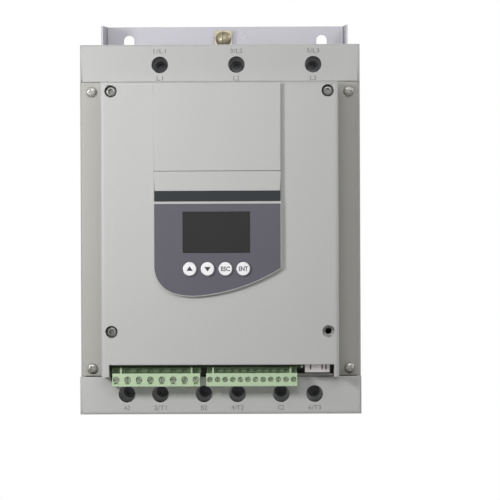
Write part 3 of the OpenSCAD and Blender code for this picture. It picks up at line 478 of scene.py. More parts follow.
@dataclass(frozen=True)
class BareMetal(Finish):
    """Plated, cast or drawn metal: drawn lines along one axis, stains and fine scratches."""

    name: str
    code: str
    stain: str
    roughness: float = 0.3
    metallic: float = 1.0
    lines: tuple[float, float, float] = (1.0, 1.0, 1.0)
    line_mm: float = 0.6
    line_share: float = 0.3
    line_shade: float = 0.72
    line_gloss: float = 0.2
    cloud_mm: float = 9.0
    cloud_edge: float = 0.52
    cloud_soft: float = 0.2
    cloud_gloss: float = 0.12
    depth_mm: float = 0.006

    def mix(self, recipe: Recipe) -> bpy.types.Material:
        """Slow noise stains the colour, and noise stretched along the draw makes the lines.

        Args:
            recipe: Recipe that is filled.

        Returns:
            The material.
        """
        base = paint(self.code)
        cloud = recipe.noise(self.cloud_mm, detail=4.0)
        drawn = recipe.noise(self.line_mm, 3.0, recipe.stretched(*self.lines))
        stained = recipe.blend(cloud.step(self.cloud_edge, self.cloud_soft), base, paint(self.stain))
        lined = recipe.blend(drawn * self.line_share, stained, shade(base, self.line_shade))
        gloss = self.roughness + (drawn - HALF) * self.line_gloss + (cloud - HALF) * self.cloud_gloss
        return recipe.coat(Base_Color=self.with_painted_shade(recipe, lined), Metallic=self.metallic, Roughness=gloss,
                           Normal=recipe.bump(drawn, self.depth_mm))


@dataclass(frozen=True)
class SlitMetal(BareMetal):
    """Bare metal with painted shade inside its narrow upright slits."""

    slit_xs: tuple[float, ...] = ()
    slit_half: float = 0.5
    slit_soft: float = 0.02
    # Colour of the painted shade inside the slits.
    slit_shade_code: str = "#262425"
    face_y: float = 0.0
    face_depth: float = 0.25
    face_soft: float = 0.1

    def with_painted_shade(self, recipe: Recipe, colour: Wire) -> Wire:
        """Paints shade on what lies behind the front face and within half a slit's width of the nearest slit's
        middle.

        Args:
            recipe: Recipe that is filled.
            colour: Colour of the plain surface.

        Returns:
            The colour with painted shade in the slits.
        """
        beside = recipe.nearest("x", self.slit_xs).step(self.slit_half * MM, self.slit_soft * MM)
        ahead = 1.0 - recipe.axis("y").step((self.face_y + self.face_depth) * MM, self.face_soft * MM)
        return recipe.blend(beside.maximum(ahead), paint(self.slit_shade_code), colour)


@dataclass(frozen=True)
class CircuitBoard(Finish):
    """Lacquered circuit board: green mask over copper runs, with bright solder spots."""

    name: str
    code: str
    solder_code: str = "#b9b8ae"
    roughness: float = 0.34
    run_mm: float = 2.6
    run_length: float = 4.0
    run_gap_mm: float = 0.35
    run_shift: float = 0.37
    run_share: float = 0.7
    run_height: float = 0.6
    spot_step: float = 2.0
    spot_r: float = 0.17
    spot_soft: float = 0.04
    spot_metallic: float = 0.9
    cloud_mm: float = 20.0
    cloud_share: float = 0.3
    cloud_gloss: float = 0.12
    darkest: float = 0.82
    lightest: float = 1.35
    depth_mm: float = 0.03

    def mix(self, recipe: Recipe) -> bpy.types.Material:
        """Brick joints draw the runs, and cell centres the solder spots.

        Args:
            recipe: Recipe that is filled.

        Returns:
            The material.
        """
        base = paint(self.code)
        flat = recipe.node("CombineXYZ", None, {"X": recipe.axis("x"), "Y": recipe.axis("z")})
        row = self.run_mm * MM
        bricks = {"Vector": flat, "Scale": 1.0, "Mortar Size": self.run_gap_mm * MM,
                  "Brick Width": row * self.run_length, "Row Height": row}
        runs = recipe.node("TexBrick", {"offset": self.run_shift}, bricks, "Fac")
        grid = {"Vector": flat, "Scale": 1.0 / (row * self.spot_step)}
        spots = recipe.node("TexVoronoi", {"feature": "F1"}, grid)
        solder = 1.0 - spots.step(self.spot_r, self.spot_soft)
        cloud = recipe.noise(self.cloud_mm, detail=3.0)
        tone = runs * self.run_share + cloud * self.cloud_share
        masked = recipe.blend(tone, shade(base, self.darkest), shade(base, self.lightest))
        gloss = self.roughness + cloud * self.cloud_gloss
        return recipe.coat(Base_Color=recipe.blend(solder, masked, paint(self.solder_code)),
                           Metallic=solder * self.spot_metallic, Roughness=gloss,
                           Normal=recipe.bump(runs * self.run_height + solder, self.depth_mm))


@dataclass(frozen=True)
class PrintedFilm(Finish):
    """Printed keypad film: satin laminate with fine orange peel and a slightly worn gloss."""

    name: str
    code: str
    roughness: float = 0.42
    sheen: float = 0.4
    spread: float = 0.06
    peel_mm: float = 1.6
    peel_share: float = 0.3
    peel_gloss: float = 0.14
    cloud_mm: float = 24.0
    cloud_share: float = 0.7
    depth_mm: float = 0.01

    def mix(self, recipe: Recipe) -> bpy.types.Material:
        """Fine noise peels the laminate, and slow noise shifts the print's tone.

        Args:
            recipe: Recipe that is filled.

        Returns:
            The material.
        """
        peel = recipe.noise(self.peel_mm, detail=2.0)
        cloud = recipe.noise(self.cloud_mm, detail=3.0)
        tone = cloud * self.cloud_share + peel * self.peel_share
        return recipe.coat(Base_Color=recipe.varied(tone, paint(self.code), self.spread),
                           Roughness=self.roughness + (peel - HALF) * self.peel_gloss,
                           Normal=recipe.bump(peel, self.depth_mm), Specular_IOR_Level=self.sheen)


@dataclass(frozen=True)
class SmokedWindow(Finish):
    """Smoked display window: a dark frame of print round a slightly paler display field."""

    name: str
    code: str
    middle: tuple[float, float]
    half: tuple[float, float]
    roughness: float = 0.24
    sheen: float = 0.4
    frame_mm: float = 1.1
    frame_soft: float = 0.25
    frame_shade: float = 0.7
    haze_mm: float = 30.0
    haze_gloss: float = 0.1
    darkest: float = 0.92
    lightest: float = 1.12

    def mix(self, recipe: Recipe) -> bpy.types.Material:
        """Distance to the nearer edge parts the frame from the field behind the window.

        Args:
            recipe: Recipe that is filled.

        Returns:
            The material.
        """
        base = paint(self.code)
        across = abs(recipe.axis("x") - self.middle[0]) - (self.half[0] - self.frame_mm * MM)
        upright = abs(recipe.axis("z") - self.middle[1]) - (self.half[1] - self.frame_mm * MM)
        rim = across.maximum(upright).step(0.0, self.frame_soft * MM)
        haze = recipe.noise(self.haze_mm, detail=3.0)
        inner = recipe.blend(haze, shade(base, self.darkest), shade(base, self.lightest))
        return recipe.coat(Base_Color=recipe.blend(rim, inner, shade(base, self.frame_shade)),
                           Roughness=self.roughness + haze * self.haze_gloss, Specular_IOR_Level=self.sheen)


@dataclass(frozen=True)
class StudioFloor(Finish):
    """Pale studio floor with a faint paper texture."""

    name: str
    code: str
    roughness: float = 0.85
    sheen: float = 0.2
    spread: float = 0.02
    fibre_mm: float = 6.0
    fibre_gloss: float = 0.1

    def mix(self, recipe: Recipe) -> bpy.types.Material:
        """Fine noise varies a pale matt colour.

        Args:
            recipe: Recipe that is filled.

        Returns:
            The material.
        """
        fibre = recipe.noise(self.fibre_mm, detail=4.0)
        return recipe.coat(Base_Color=recipe.varied(fibre, paint(self.code), self.spread),
                           Roughness=self.roughness + fibre * self.fibre_gloss, Specular_IOR_Level=self.sheen)


COVER = MouldedPlastic("cover_grey", "#c0c0bf")
HOUSING = MouldedPlastic("housing_grey", "#b1b0ab")
BEZEL = MouldedPlastic("bezel_grey", "#c1c1c0", roughness=0.5)
PANEL = MouldedPlastic("panel_grey", "#c1c1c0")
BLACK = MouldedPlastic("black_nylon", "#2c2d30", roughness=0.5)
FAN_BLACK = MouldedPlastic("fan_black", "#232427", roughness=0.44)
EPOXY = MouldedPlastic("module_epoxy", "#3a3c41", roughness=0.6, grain=0.08)
KEY_WHITE = MouldedPlastic("key_white", "#fafafc", roughness=0.4, flow=0.01, grain=0.012)
HEADER_GREEN = MouldedPlastic("header_green", "#65785b", roughness=0.48)
PLUG_GREEN = MouldedPlastic("plug_green", "#bcd2af", roughness=0.45)
INK = MouldedPlastic("legend_ink", "#3c3c40", roughness=0.5, flow=0.05)
# Darker grey that paints the shade of the moulded terminal marks.
SHADED_MARK = MouldedPlastic("mark_grey", "#848481", roughness=0.55)
# Pale grey that paints the highlight of the stamped earth mark.
HIGHLIGHT_MARK = MouldedPlastic("pale_mark", "#ebebef", roughness=0.5)
FILM = PrintedFilm("keypad_film", "#5b5963")
STRIP = PrintedFilm("name_field", "#131a1f", roughness=0.36)
ZINC = ZincSheet("galvanised_sheet", "#a4a3a9")
STEEL = BareMetal("plated_steel", "#b4b3ae", "#9a9994", roughness=0.27, metallic=0.5)
COVER_SCREW = BareMetal("cover_screw_steel", "#8c8c89", "#6e6e6b", roughness=0.3, metallic=0.5)
DARK_STEEL = BareMetal("blackened_steel", "#56575a", "#454649", roughness=0.38, metallic=0.6)
CLAMP_STEEL = BareMetal("clamp_steel", "#9aa592", "#7f8a76", roughness=0.36, metallic=0.5)
EARTH_PLATE = BareMetal("earth_plate", "#bab39d", "#a0987f", roughness=0.34, metallic=0.5)
EARTH_SCREW = BareMetal("earth_screw_zinc", "#aba189", "#8d836a", roughness=0.38, metallic=0.5)
ALUMINIUM = BareMetal("extruded_aluminium", "#b9babd", "#a9abaf", roughness=0.4, lines=(1.0, 1.0, 0.02))
COPPER = BareMetal("copper_bar", "#c9855a", "#a9623c", roughness=0.32, lines=(1.0, 1.0, 0.05))
TINNED = BareMetal("tinned_copper", "#c4c5c6", "#aeb0b0", roughness=0.34)
BOARD = CircuitBoard("circuit_board", "#2f5a3a")
FLOOR = StudioFloor("studio_floor", "#f4f4f2")


def dress(finish: Finish, *nodes: str) -> None:
    """Gives CAD nodes a finish.

    Args:
        finish: The finish.
        nodes: Names of the nodes.
    """
    for node in nodes:
        materials = frame["nodes"][node].data.materials
        materials.clear()
        materials.append(finish.material())


def body_of(node: str) -> str:
    """Name of the body that carries a CAD node."""
    return frame["nodes"][node]["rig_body"]


def box_mm(node: str) -> tuple[np.ndarray, np.ndarray]:
    """Lowest and highest corner of a CAD node in millimetres."""
    low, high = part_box(node)
    return np.array(low) / MM, np.array(high) / MM


def opening_middles(name: str) -> tuple[list[float], list[float]]:
    """Middles of the record's openings whose names begin alike, in millimetres and in order across.

    Args:
        name: What their names begin with.

    Returns:
        Their places across and their heights.
    """
    boxes = [o["box_m"] for o in frame["record"]["physics"]["openings"] if o["name"].startswith(name)]
    middles = sorted(((low[0] + high[0]) / 2 / MM, (low[2] + high[2]) / 2 / MM) for low, high in boxes)
    return [x for x, _ in middles], [z for _, z in middles]


def add_piece(name: str, mesh: bpy.types.Mesh, finish: Finish, body: str,
              crease_deg: float = CREASE_DEG) -> bpy.types.Object:
    """Puts a finished mesh into the scene.

    Args:
        name: Name of the piece.
        mesh: Its mesh, in place.
        finish: Its finish.
        body: Body that it moves with.
        crease_deg: Angle above which an edge stays sharp.

    Returns:
        The new object.
    """
    piece = bpy.data.objects.new(name, mesh)
    bpy.context.scene.collection.objects.link(piece)
    mesh.materials.clear()
    mesh.materials.append(finish.material())
    mesh.shade_smooth()
    mesh.set_sharp_from_angle(angle=math.radians(crease_deg))
    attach(piece, body)
    LOG.info("%s: %d faces on %s", name, len(mesh.polygons), body)
    return piece


def mesh_of(name: str, points: np.ndarray, faces: np.ndarray) -> bpy.types.Mesh:
    """Makes a mesh of points and faces, with poles and seams closed and faces outwards.

    Args:
        name: Name of the mesh.
        points: Points in millimetres, one row each.
        faces: Corner numbers, one row for each face.

    Returns:
        The mesh, in metres.
    """
    mesh = bpy.data.meshes.new(name)
    mesh.from_pydata(points * MM, [], faces.tolist())
    shell = bmesh.new()
    shell.from_mesh(mesh)
    bmesh.ops.remove_doubles(shell, verts=shell.verts, dist=SEAM)
    bmesh.ops.recalc_face_normals(shell, faces=shell.faces)
    shell.to_mesh(mesh)
    shell.free()
    return mesh


def quads(rows: int, columns: int, wrap: bool) -> np.ndarray:
    """Faces of a grid of points, each joining a point to its next row and next column.

    Args:
        rows: Number of rows.
        columns: Number of columns.
        wrap: Whether the last column joins the first.

    Returns:
        Four corner numbers for each face.
    """
    i = np.arange(rows - 1)[:, None]
    j = np.arange(columns if wrap else columns - 1)[None, :]
    k = (j + 1) % columns
    corners = np.broadcast_arrays(i * columns + j, i * columns + k, (i + 1) * columns + k, (i + 1) * columns + j)
    return np.stack(corners, axis=-1).reshape(-1, 4)


def prism_surface(outline: np.ndarray, near: float, far: float) -> tuple[np.ndarray, np.ndarray]:
    """A flat outline carried along the depth.

    The profile is the outline in X and Z, and it is drawn shut to its middle at both ends.

    Args:
        outline: Corners in X and Z, one row each.
        near: Depth of the front end.
        far: Depth of the back end.

    Returns:
        Points in millimetres and faces.
    """
    middle = np.broadcast_to(outline.mean(0), outline.shape)
    rings = [(middle, near), (outline, near), (outline, far), (middle, far)]
    points = np.concatenate([np.stack([c[:, 0], np.full(len(c), y), c[:, 1]], axis=-1) for c, y in rings])
    return points, quads(len(rings), len(outline), True)


def joined_mesh(name: str, parts: Sequence[tuple[np.ndarray, np.ndarray]]) -> bpy.types.Mesh:
    """Joins several surfaces into one mesh.

    Args:
        name: Name of the mesh.
        parts: Points and faces of each surface.

    Returns:
        The mesh.
    """
    starts = np.cumsum([0] + [len(points) for points, _ in parts[:-1]])
    points = np.concatenate([points for points, _ in parts])
    faces = np.concatenate([faces + start for (_, faces), start in zip(parts, starts)])
    return mesh_of(name, points, faces)


def softened(node: str, finish: Finish, edge_mm: float = 0.0, steps: int = 2) -> None:
    """Replaces a CAD node by a copy with merged points, smooth curves and small rounded edges.

    Args:
        node: Name of the node.
        finish: Its finish.
        edge_mm: Width of the rounded edges, or 0 for none.
        steps: Segments of a rounded edge.
    """
    mesh = frame["nodes"][node].data.copy()
    shell = bmesh.new()
    shell.from_mesh(mesh)
    bmesh.ops.remove_doubles(shell, verts=shell.verts, dist=CAD_SEAM)
    bmesh.ops.dissolve_limit(shell, angle_limit=math.radians(PLANE_DEG), verts=shell.verts, edges=shell.edges)
    shell.to_mesh(mesh)
    shell.free()
    piece = add_piece(node + "_shell", mesh, finish, body_of(node), CAD_CREASE_DEG)
    if edge_mm:
        edge = piece.modifiers.new("edges", "BEVEL")
        edge.width = edge_mm * MM
        edge.segments = steps
        edge.limit_method = "ANGLE"
        edge.angle_limit = math.radians(ROUND_DEG)
    flat = piece.modifiers.new("flat_faces", "WEIGHTED_NORMAL")
    flat.mode = "FACE_AREA"
    flat.weight = 100
    flat.keep_sharp = True
    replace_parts(piece, node)


def letters(name: str, words: str, width: float, height: float, middle: Sequence[float], rise: float,
            bold: float = 0.0) -> bpy.types.Mesh:
    """Raised letters that face the front, fitted to a box.

    Args:
        name: Name of the mesh.
        words: What is written.
        width: Width of the writing.
        height: Height of the writing.
        middle: Middle of the writing's back, in millimetres.
        rise: How far the letters stand off that point towards the front.
        bold: Share of the letters' height by which each stroke grows on both sides.

    Returns:
        The mesh in place.
    """
    curve = bpy.data.curves.new(name, "FONT")
    curve.body = words
    curve.extrude = HALF
    curve.offset = bold
    curve.resolution_u = LETTER_STEPS
    holder = bpy.data.objects.new(name, curve)
    bpy.context.scene.collection.objects.link(holder)
    mesh = bpy.data.meshes.new_from_object(holder.evaluated_get(bpy.context.evaluated_depsgraph_get()))
    bpy.data.objects.remove(holder)
    points = np.zeros(len(mesh.vertices) * 3)
    mesh.vertices.foreach_get("co", points)
    points = points.reshape(-1, 3)
    low, high = points.min(0), points.max(0)
    unit = (points - (low + high) / 2) / (high - low)
    place = np.stack([unit[:, 0] * width, -(unit[:, 2] + HALF) * rise, unit[:, 1] * height], axis=-1)
    mesh.vertices.foreach_set("co", ((place + np.array(middle)) * MM).ravel())
    mesh.update()
    return mesh


class Drive(Enum):
    """Recess in a screw's head."""

    CROSS = "cross"
    SLOT = "slot"
    HEXAGON = "hexagon"


@dataclass(frozen=True)
class Screw:
    """A screw as one surface of revolution, with its drive pressed into the head."""

    head_r: float
    head_h: float
    shank_r: float
    length: float
    drive: Drive
    drive_r: float
    drive_w: float
    drive_depth: float
    fullness: float = 3.0
    turns: int = 96
    rings: int = 30
    crowding: float = 1.7
    wall: float = 0.12

    def pressed(self, x: np.ndarray, y: np.ndarray) -> np.ndarray:
        """Share of the drive's depth at a point of the head.

        A bar is 1 where the distance across it is under half its width and the distance along it is under its
        reach, with a ramp as wide as the wall between. A cross is two bars, and a hexagon is three pairs of flats.

        Args:
            x: Distance along the head's first axis.
            y: Distance along its second axis.

        Returns:
            Values from 0 on the head to 1 at the drive's floor.
        """
        def inside(distance: np.ndarray, limit: float) -> np.ndarray:
            """1 inside a limit, 0 outside, with the wall's ramp between."""
            return np.clip((limit - distance) / self.wall + HALF, 0.0, 1.0)

        def bar(along: np.ndarray, across: np.ndarray) -> np.ndarray:
            """One straight slot through the middle."""
            return inside(np.abs(along), self.drive_r) * inside(np.abs(across), self.drive_w / 2)

        if self.drive is Drive.SLOT:
            return bar(x, y)
        if self.drive is Drive.CROSS:
            return np.maximum(bar(x, y), bar(y, x))
        angles = np.radians([0.0, 60.0, 120.0])
        flats = np.abs(x[..., None] * np.cos(angles) + y[..., None] * np.sin(angles)).max(-1)
        return inside(flats, self.drive_r)

    def surface(self, turn_deg: float = 0.0) -> tuple[np.ndarray, np.ndarray]:
        """Points and faces of the screw, its head's underside at the origin and its head towards -Y.

        The head is a superellipse: at s from 0 to 1 its radius is s times the head's radius, and its height is
        the head's height times (1 - s^n)^(1/n), less the drive's depth. The rings crowd towards the rim, and three
        more give the underside, the shank and the tip.

        Args:
            turn_deg: Angle by which the drive is turned.

        Returns:
            Points in millimetres and faces.
        """
        s = 1.0 - (1.0 - np.linspace(0.0, 1.0, self.rings)) ** self.crowding
        radius = np.concatenate([self.head_r * s, [self.shank_r, self.shank_r, 0.0]])
        height = np.concatenate([self.head_h * (1 - s ** self.fullness) ** (1 / self.fullness),
                                 [0.0, -self.length, -self.length]])
        angle = np.linspace(0.0, 2 * np.pi, self.turns, endpoint=False)
        x = radius[:, None] * np.cos(angle)[None, :]
        z = radius[:, None] * np.sin(angle)[None, :]
        turn = math.radians(turn_deg)
        pressed = self.pressed(x * math.cos(turn) + z * math.sin(turn), z * math.cos(turn) - x * math.sin(turn))
        on_head = (np.arange(len(radius)) < len(s))[:, None]
        y = -(height[:, None] - np.where(on_head, pressed, 0.0) * self.drive_depth)
        points = np.stack([x, np.broadcast_to(y, x.shape), z], axis=-1).reshape(-1, 3)
        return points, quads(len(radius), self.turns, True)


def screw_group(name: str, screws: Iterable[tuple[Screw, float, Sequence[float]]], finish: Finish, body: str) -> bpy.types.Object:
    """Sets several screws into one piece.

    Args:
        name: Name of the piece.
        screws: Each screw with its turn in degrees and the place of its head's underside.
        finish: Their finish.
        body: Body that they move with.

    Returns:
        The piece.
    """
    surfaces = [(screw.surface(turn), np.array(place)) for screw, turn, place in screws]
    mesh = joined_mesh(name, [(points + place, faces) for (points, faces), place in surfaces])
    return add_piece(name, mesh, finish, body, SCREW_CREASE_DEG)


@dataclass
class Lamp:
    """A soft studio lamp."""

    name: str
    place: tuple[float, float, float]
    aim: tuple[float, float, float]
    size: tuple[float, float]
    watts: float

    def light(self) -> None:
        """Hangs the lamp and turns it to its aim."""
        data = bpy.data.lights.new(self.name, "AREA")
        data.shape = "RECTANGLE"
        data.size, data.size_y = self.size[0] * MM, self.size[1] * MM
        data.energy = self.watts
        lamp = bpy.data.objects.new(self.name, data)
        bpy.context.scene.collection.objects.link(lamp)
        lamp.location = Vector(self.place) * MM
        lamp.rotation_euler = (Vector(self.aim) - Vector(self.place)).to_track_quat("-Z", "Y").to_euler()


@dataclass
class Stage:
    """Camera, lamps, white surroundings and floor."""

    eye: tuple[float, float, float] = (29.7, -1566.4, -25.0)
    yaw: float = 0.0071
    pitch: float = -0.0026
    roll: float = -0.0040
    focal_px: float = 2006.7
    frame_px: float = 500.0
    sensor: float = 36.0
    clip_m: tuple[float, float] = (0.05, 50.0)
    ambient: float = 0.03
    floor_z: float = -460.0
    floor_half: float = 1400.0
    floor_points: int = 3
    lamps: list[Lamp] = field(default_factory=lambda: [
        Lamp("key", (-340.0, -600.0, 110.0), (0.0, -229.0, -60.0), (120.0, 130.0), 1.55),
        Lamp("front", (80.0, -1150.0, 420.0), (0.0, -229.0, -20.0), (700.0, 300.0), 2.95),
        Lamp("overhead", (80.0, -640.0, 560.0), (0.0, -215.0, -20.0), (700.0, 300.0), 0.9),
        Lamp("back", (-250.0, 1000.0, 800.0), (0.0, 0.0, -200.0), (1200.0, 800.0), 9.0),
        Lamp("side", (1100.0, 150.0, 650.0), (60.0, -100.0, -60.0), (800.0, 600.0), 6.5),
    ])

    def build(self) -> None:
        """Sets up everything round the part."""
        self.set_camera()
        self.set_world()
        self.lay_floor()
        for lamp in self.lamps:
            lamp.light()
        bpy.context.scene.view_settings.view_transform = "Standard"

    def set_camera(self) -> None:
        """Turns the camera by its yaw about the vertical, its pitch about its side and its roll about its view."""
        data = bpy.data.cameras.new("camera")
        data.sensor_width = self.sensor
        data.lens = self.sensor * self.focal_px / self.frame_px
        data.clip_start, data.clip_end = self.clip_m
        camera = bpy.data.objects.new("camera", data)
        bpy.context.scene.collection.objects.link(camera)
        turn = (Matrix.Rotation(self.yaw, 4, "Z") @ Matrix.Rotation(math.pi / 2 + self.pitch, 4, "X")
                @ Matrix.Rotation(self.roll, 4, "Z"))
        camera.matrix_world = Matrix.Translation(Vector(self.eye) * MM) @ turn
        bpy.context.scene.camera = camera

    def set_world(self) -> None:
        """White for the camera, mirrors and glass, and an even plain light for all else."""
        world = bpy.data.worlds.new("studio")
        bpy.context.scene.world = world
        world.use_nodes = True
        tree = NodeTree(world.node_tree)
        path = tree.node("LightPath", out="Is Camera Ray")
        glossy = Wire(tree, path.socket.node.outputs["Is Glossy Ray"])
        clear = Wire(tree, path.socket.node.outputs["Is Transmission Ray"])
        soft = tree.node("Background", None, {"Color": (1.0, 1.0, 1.0), "Strength": self.ambient})
        white = tree.node("Background", None, {"Color": (1.0, 1.0, 1.0), "Strength": 1.0})
        mixed = tree.node("MixShader", None, {0: path.maximum(glossy).maximum(clear), 1: soft, 2: white})
        output = tree.tree.nodes.new("ShaderNodeOutputWorld")
        tree.feed(output.inputs["Surface"], mixed)

    def lay_floor(self) -> None:
        """A pale level floor well below the part: a square grid in X and Y at one height."""
        across = np.linspace(-self.floor_half, self.floor_half, self.floor_points)
        x, y = np.meshgrid(across, across, indexing="ij")
        points = np.stack([x, y, np.full_like(x, self.floor_z)], axis=-1).reshape(-1, 3)
        mesh = mesh_of("floor", points, quads(self.floor_points, self.floor_points, False))
        floor = bpy.data.objects.new("floor", mesh)
        bpy.context.scene.collection.objects.link(floor)
        mesh.materials.append(FLOOR.material())


@dataclass
class Chassis:
    """Sheet metal chassis with its earth terminal."""

    screw: Screw = Screw(6.1, 4.2, 3.0, 7.5, Drive.SLOT, 6.4, 1.1, 1.3, fullness=2.0)
    screw_turn: float = 90.0
    clamp_edge: float = 0.35
    symbol_x: float = 14.4
    symbol_z: float = 138.0
    bar_widths: tuple[float, ...] = (7.4, 4.8, 2.2)
    bar_h: float = 0.8
    bar_step: float = 1.8
    stem_h: float = 3.4
    slant_deg: float = 45.0
    sheet_t: float = 1.5
    rise: float = 0.12

    def build(self) -> None:
        """Dresses the sheet and adds the earth mark beside the terminal."""
        dress(ZINC, "mounting_chassis")
        dress(STEEL, "chassis_screws")
        softened("earth_clamp", EARTH_PLATE, self.clamp_edge)
        self.earth_screw()
        self.earth_mark()

    def earth_screw(self) -> None:
        """One domed screw with a slot, in the place of the earth screw."""
        low, high = box_mm("earth_screw")
        place = ((low[0] + high[0]) / 2, low[1] + self.screw.head_h, (low[2] + high[2]) / 2)
        screws = [(self.screw, self.screw_turn, place)]
        piece = screw_group("earth_screw_head", screws, EARTH_SCREW, "starter")
        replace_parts(piece, "earth_screw")

    def earth_mark(self) -> None:
        """Three bars under a stem, standing off the back plate by a thin rise and turned by the slant; their pale
        colour is a painted highlight of the stamped mark.

        A point (u, v) of the upright mark goes to (u cos a - v sin a, u sin a + v cos a).
        """
        pads = [(0.0, -i * self.bar_step, w, self.bar_h) for i, w in enumerate(self.bar_widths)]
        pads.append((0.0, (self.bar_h + self.stem_h) / 2, self.bar_h, self.stem_h))
        slant = math.radians(self.slant_deg)
        turn = np.array([[math.cos(slant), math.sin(slant)], [-math.sin(slant), math.cos(slant)]])
        outlines = [(SQUARE * (w, h) + (u, v)) @ turn + (self.symbol_x, self.symbol_z) for u, v, w, h in pads]
        parts = [prism_surface(outline, -self.sheet_t - self.rise, -self.sheet_t) for outline in outlines]
        add_piece("earth_mark", joined_mesh("earth_mark", parts), HIGHLIGHT_MARK, "starter")


@dataclass
class Housing:
    """Grey housing with its two terminal covers, their marks and the case screws."""

    screw: Screw = Screw(3.5, 2.4, 1.7, 11.8, Drive.CROSS, 2.0, 0.9, 1.3)
    screw_turns: tuple[float, ...] = (28.0, 62.0, 15.0, 80.0)
    mark_w: float = 2.1
    mark_h: float = 3.0
    mark_edge: float = 4.6
    rise: float = 0.15
    upper_marks: tuple[str, ...] = ("1/L1", "3/L2", "5/L3")
    inner_marks: tuple[str, ...] = ("L1", "L2", "L3")
    lower_marks: tuple[str, ...] = ("A2", "2/T1", "B2", "4/T2", "C2", "6/T3")

    def build(self) -> None:
        """Dresses the mouldings, and adds screws and terminal marks."""
        softened("housing_base", HOUSING)
        for side, holes in (("top", "line_screw_access"), ("bottom", "motor_screw_access")):
            xs, zs = opening_middles(holes)
            # Each cover's finish paints shade inside its screwdriver holes.
            finish = HoledPlastic(side + "_cover_grey", COVER.code, hole_xs=tuple(xs), hole_z=zs[0])
            softened(side + "_terminal_cover", finish)
        self.case_screws()
        self.terminal_marks()

    def case_screws(self) -> None:
        """Four cross-recessed pan heads on the side strips."""
        low, high = box_mm("case_screws")
        strip_y = low[1] + self.screw.head_h
        xs = (low[0] + self.screw.head_r, high[0] - self.screw.head_r)
        zs = (low[2] + self.screw.head_r, high[2] - self.screw.head_r)
        places = [(x, strip_y, z) for z in zs for x in xs]
        screws = [(self.screw, turn, place) for turn, place in zip(self.screw_turns, places)]
        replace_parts(screw_group("case_screw_heads", screws, STEEL, "starter"), "case_screws")

    def terminal_marks(self) -> None:
        """Plain numbers and letters beside the screwdriver holes, which the record's openings place; their darker
        grey paints the shade of moulded marks.
        """
        top_low, top_high = box_mm("top_terminal_cover")
        low_low, _ = box_mm("bottom_terminal_cover")
        line_xs, motor_xs = (opening_middles(kind + "_screw_access")[0] for kind in ("line", "motor"))
        rows = ((self.upper_marks, line_xs, top_low[1], top_high[2] - self.mark_edge),
                (self.inner_marks, line_xs, top_low[1], top_low[2] + self.mark_edge / 2),
                (self.lower_marks, motor_xs, low_low[1], low_low[2] + self.mark_edge))
        for number, (words, xs, face, z) in enumerate(rows):
            for place, (word, x) in enumerate(zip(words, xs)):
                name = f"terminal_mark_{number}_{place}"
                mesh = letters(name, word, self.mark_w * len(word), self.mark_h, (x, face, z), self.rise)
                add_piece(name, mesh, SHADED_MARK, "starter")


@dataclass
class FrontCover:
    """Front cover with its recessed screws and the blank panel."""

    screw: Screw = Screw(3.5, 3.9, 2.0, 15.8, Drive.HEXAGON, 1.5, 0.0, 2.2, fullness=6.0)
    screw_turns: tuple[float, ...] = (10.0, 40.0, 25.0)
    seat_depth: float = 4.0

    def build(self) -> None:
        """Dresses the cover and sets its three screws."""
        softened("front_cover", COVER)
        softened("blank_panel", PANEL)
        low, high = box_mm("cover_screws")
        seat = low[1] + self.seat_depth
        left, right = low[0] + self.screw.head_r, high[0] - self.screw.head_r
        bottom, top = low[2] + self.screw.head_r, high[2] - self.screw.head_r
        places = [(left, seat, top), (right, seat, top), (left, seat, bottom)]
        screws = [(self.screw, turn, place) for turn, place in zip(self.screw_turns, places)]
        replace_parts(screw_group("cover_screw_heads", screws, COVER_SCREW, "starter"), "cover_screws")


@dataclass
class Keypad:
    """Keypad with its display, dark name field and four keys."""

    window_code: str = "#101010"
    legend_w: float = 6.0
    legend_h: float = 3.1
    bold: float = 0.02
    arrow_w: float = 4.2
    arrow_h: float = 3.0
    arrow_base: float = -0.42
    rise: float = 0.06

    def build(self) -> None:
        """Dresses the keypad and prints the keys."""
        softened("keypad_bezel", BEZEL)
        softened("keypad_faceplate", FILM)
        dress(STRIP, "name_strip")
        low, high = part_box("display_window")
        middle = ((low.x + high.x) / 2, (low.z + high.z) / 2)
        half = ((high.x - low.x) / 2, (high.z - low.z) / 2)
        dress(SmokedWindow("smoked_window", self.window_code, middle, half), "display_window")
        dress(BLACK, "display_module", "key_switches")
        dress(BOARD, "display_board")
        for name in ("up", "down", "esc", "ent"):
            softened("button_" + name, KEY_WHITE)
        self.arrow("up", 1.0)
        self.arrow("down", -1.0)
        self.words("esc", "ESC")
        self.words("ent", "ENT")

    @staticmethod
    def key_top(name: str) -> tuple[float, float, float]:
        """Middle of a key's top face in millimetres."""
        low, high = box_mm("button_" + name)
        return (low[0] + high[0]) / 2, low[1], (low[2] + high[2]) / 2

    def arrow(self, name: str, way: float) -> None:
        """A flat triangle on a key.

        The outline runs from a base at a share of the arrow's height below the key's middle to a point above it.

        Args:
            name: Name of the key.
            way: 1 for a point that is up, and -1 for one that is down.
        """
        x, y, z = self.key_top(name)
        unit = np.array([[-HALF, self.arrow_base], [HALF, self.arrow_base], [0.0, self.arrow_base + 1.0]])
        points, faces = prism_surface(unit * (self.arrow_w, self.arrow_h * way) + (x, z), y - self.rise, y)
        add_piece("legend_" + name, mesh_of("arrow_" + name, points, faces), INK, name + "_key")

    def words(self, name: str, words: str) -> None:
        """Printed letters on a key.

        Args:
            name: Name of the key.
            words: What is written on it.
        """
        top = self.key_top(name)
        mesh = letters("word_" + name, words, self.legend_w, self.legend_h, top, self.rise, self.bold)
        add_piece("legend_" + name, mesh, INK, name + "_key")


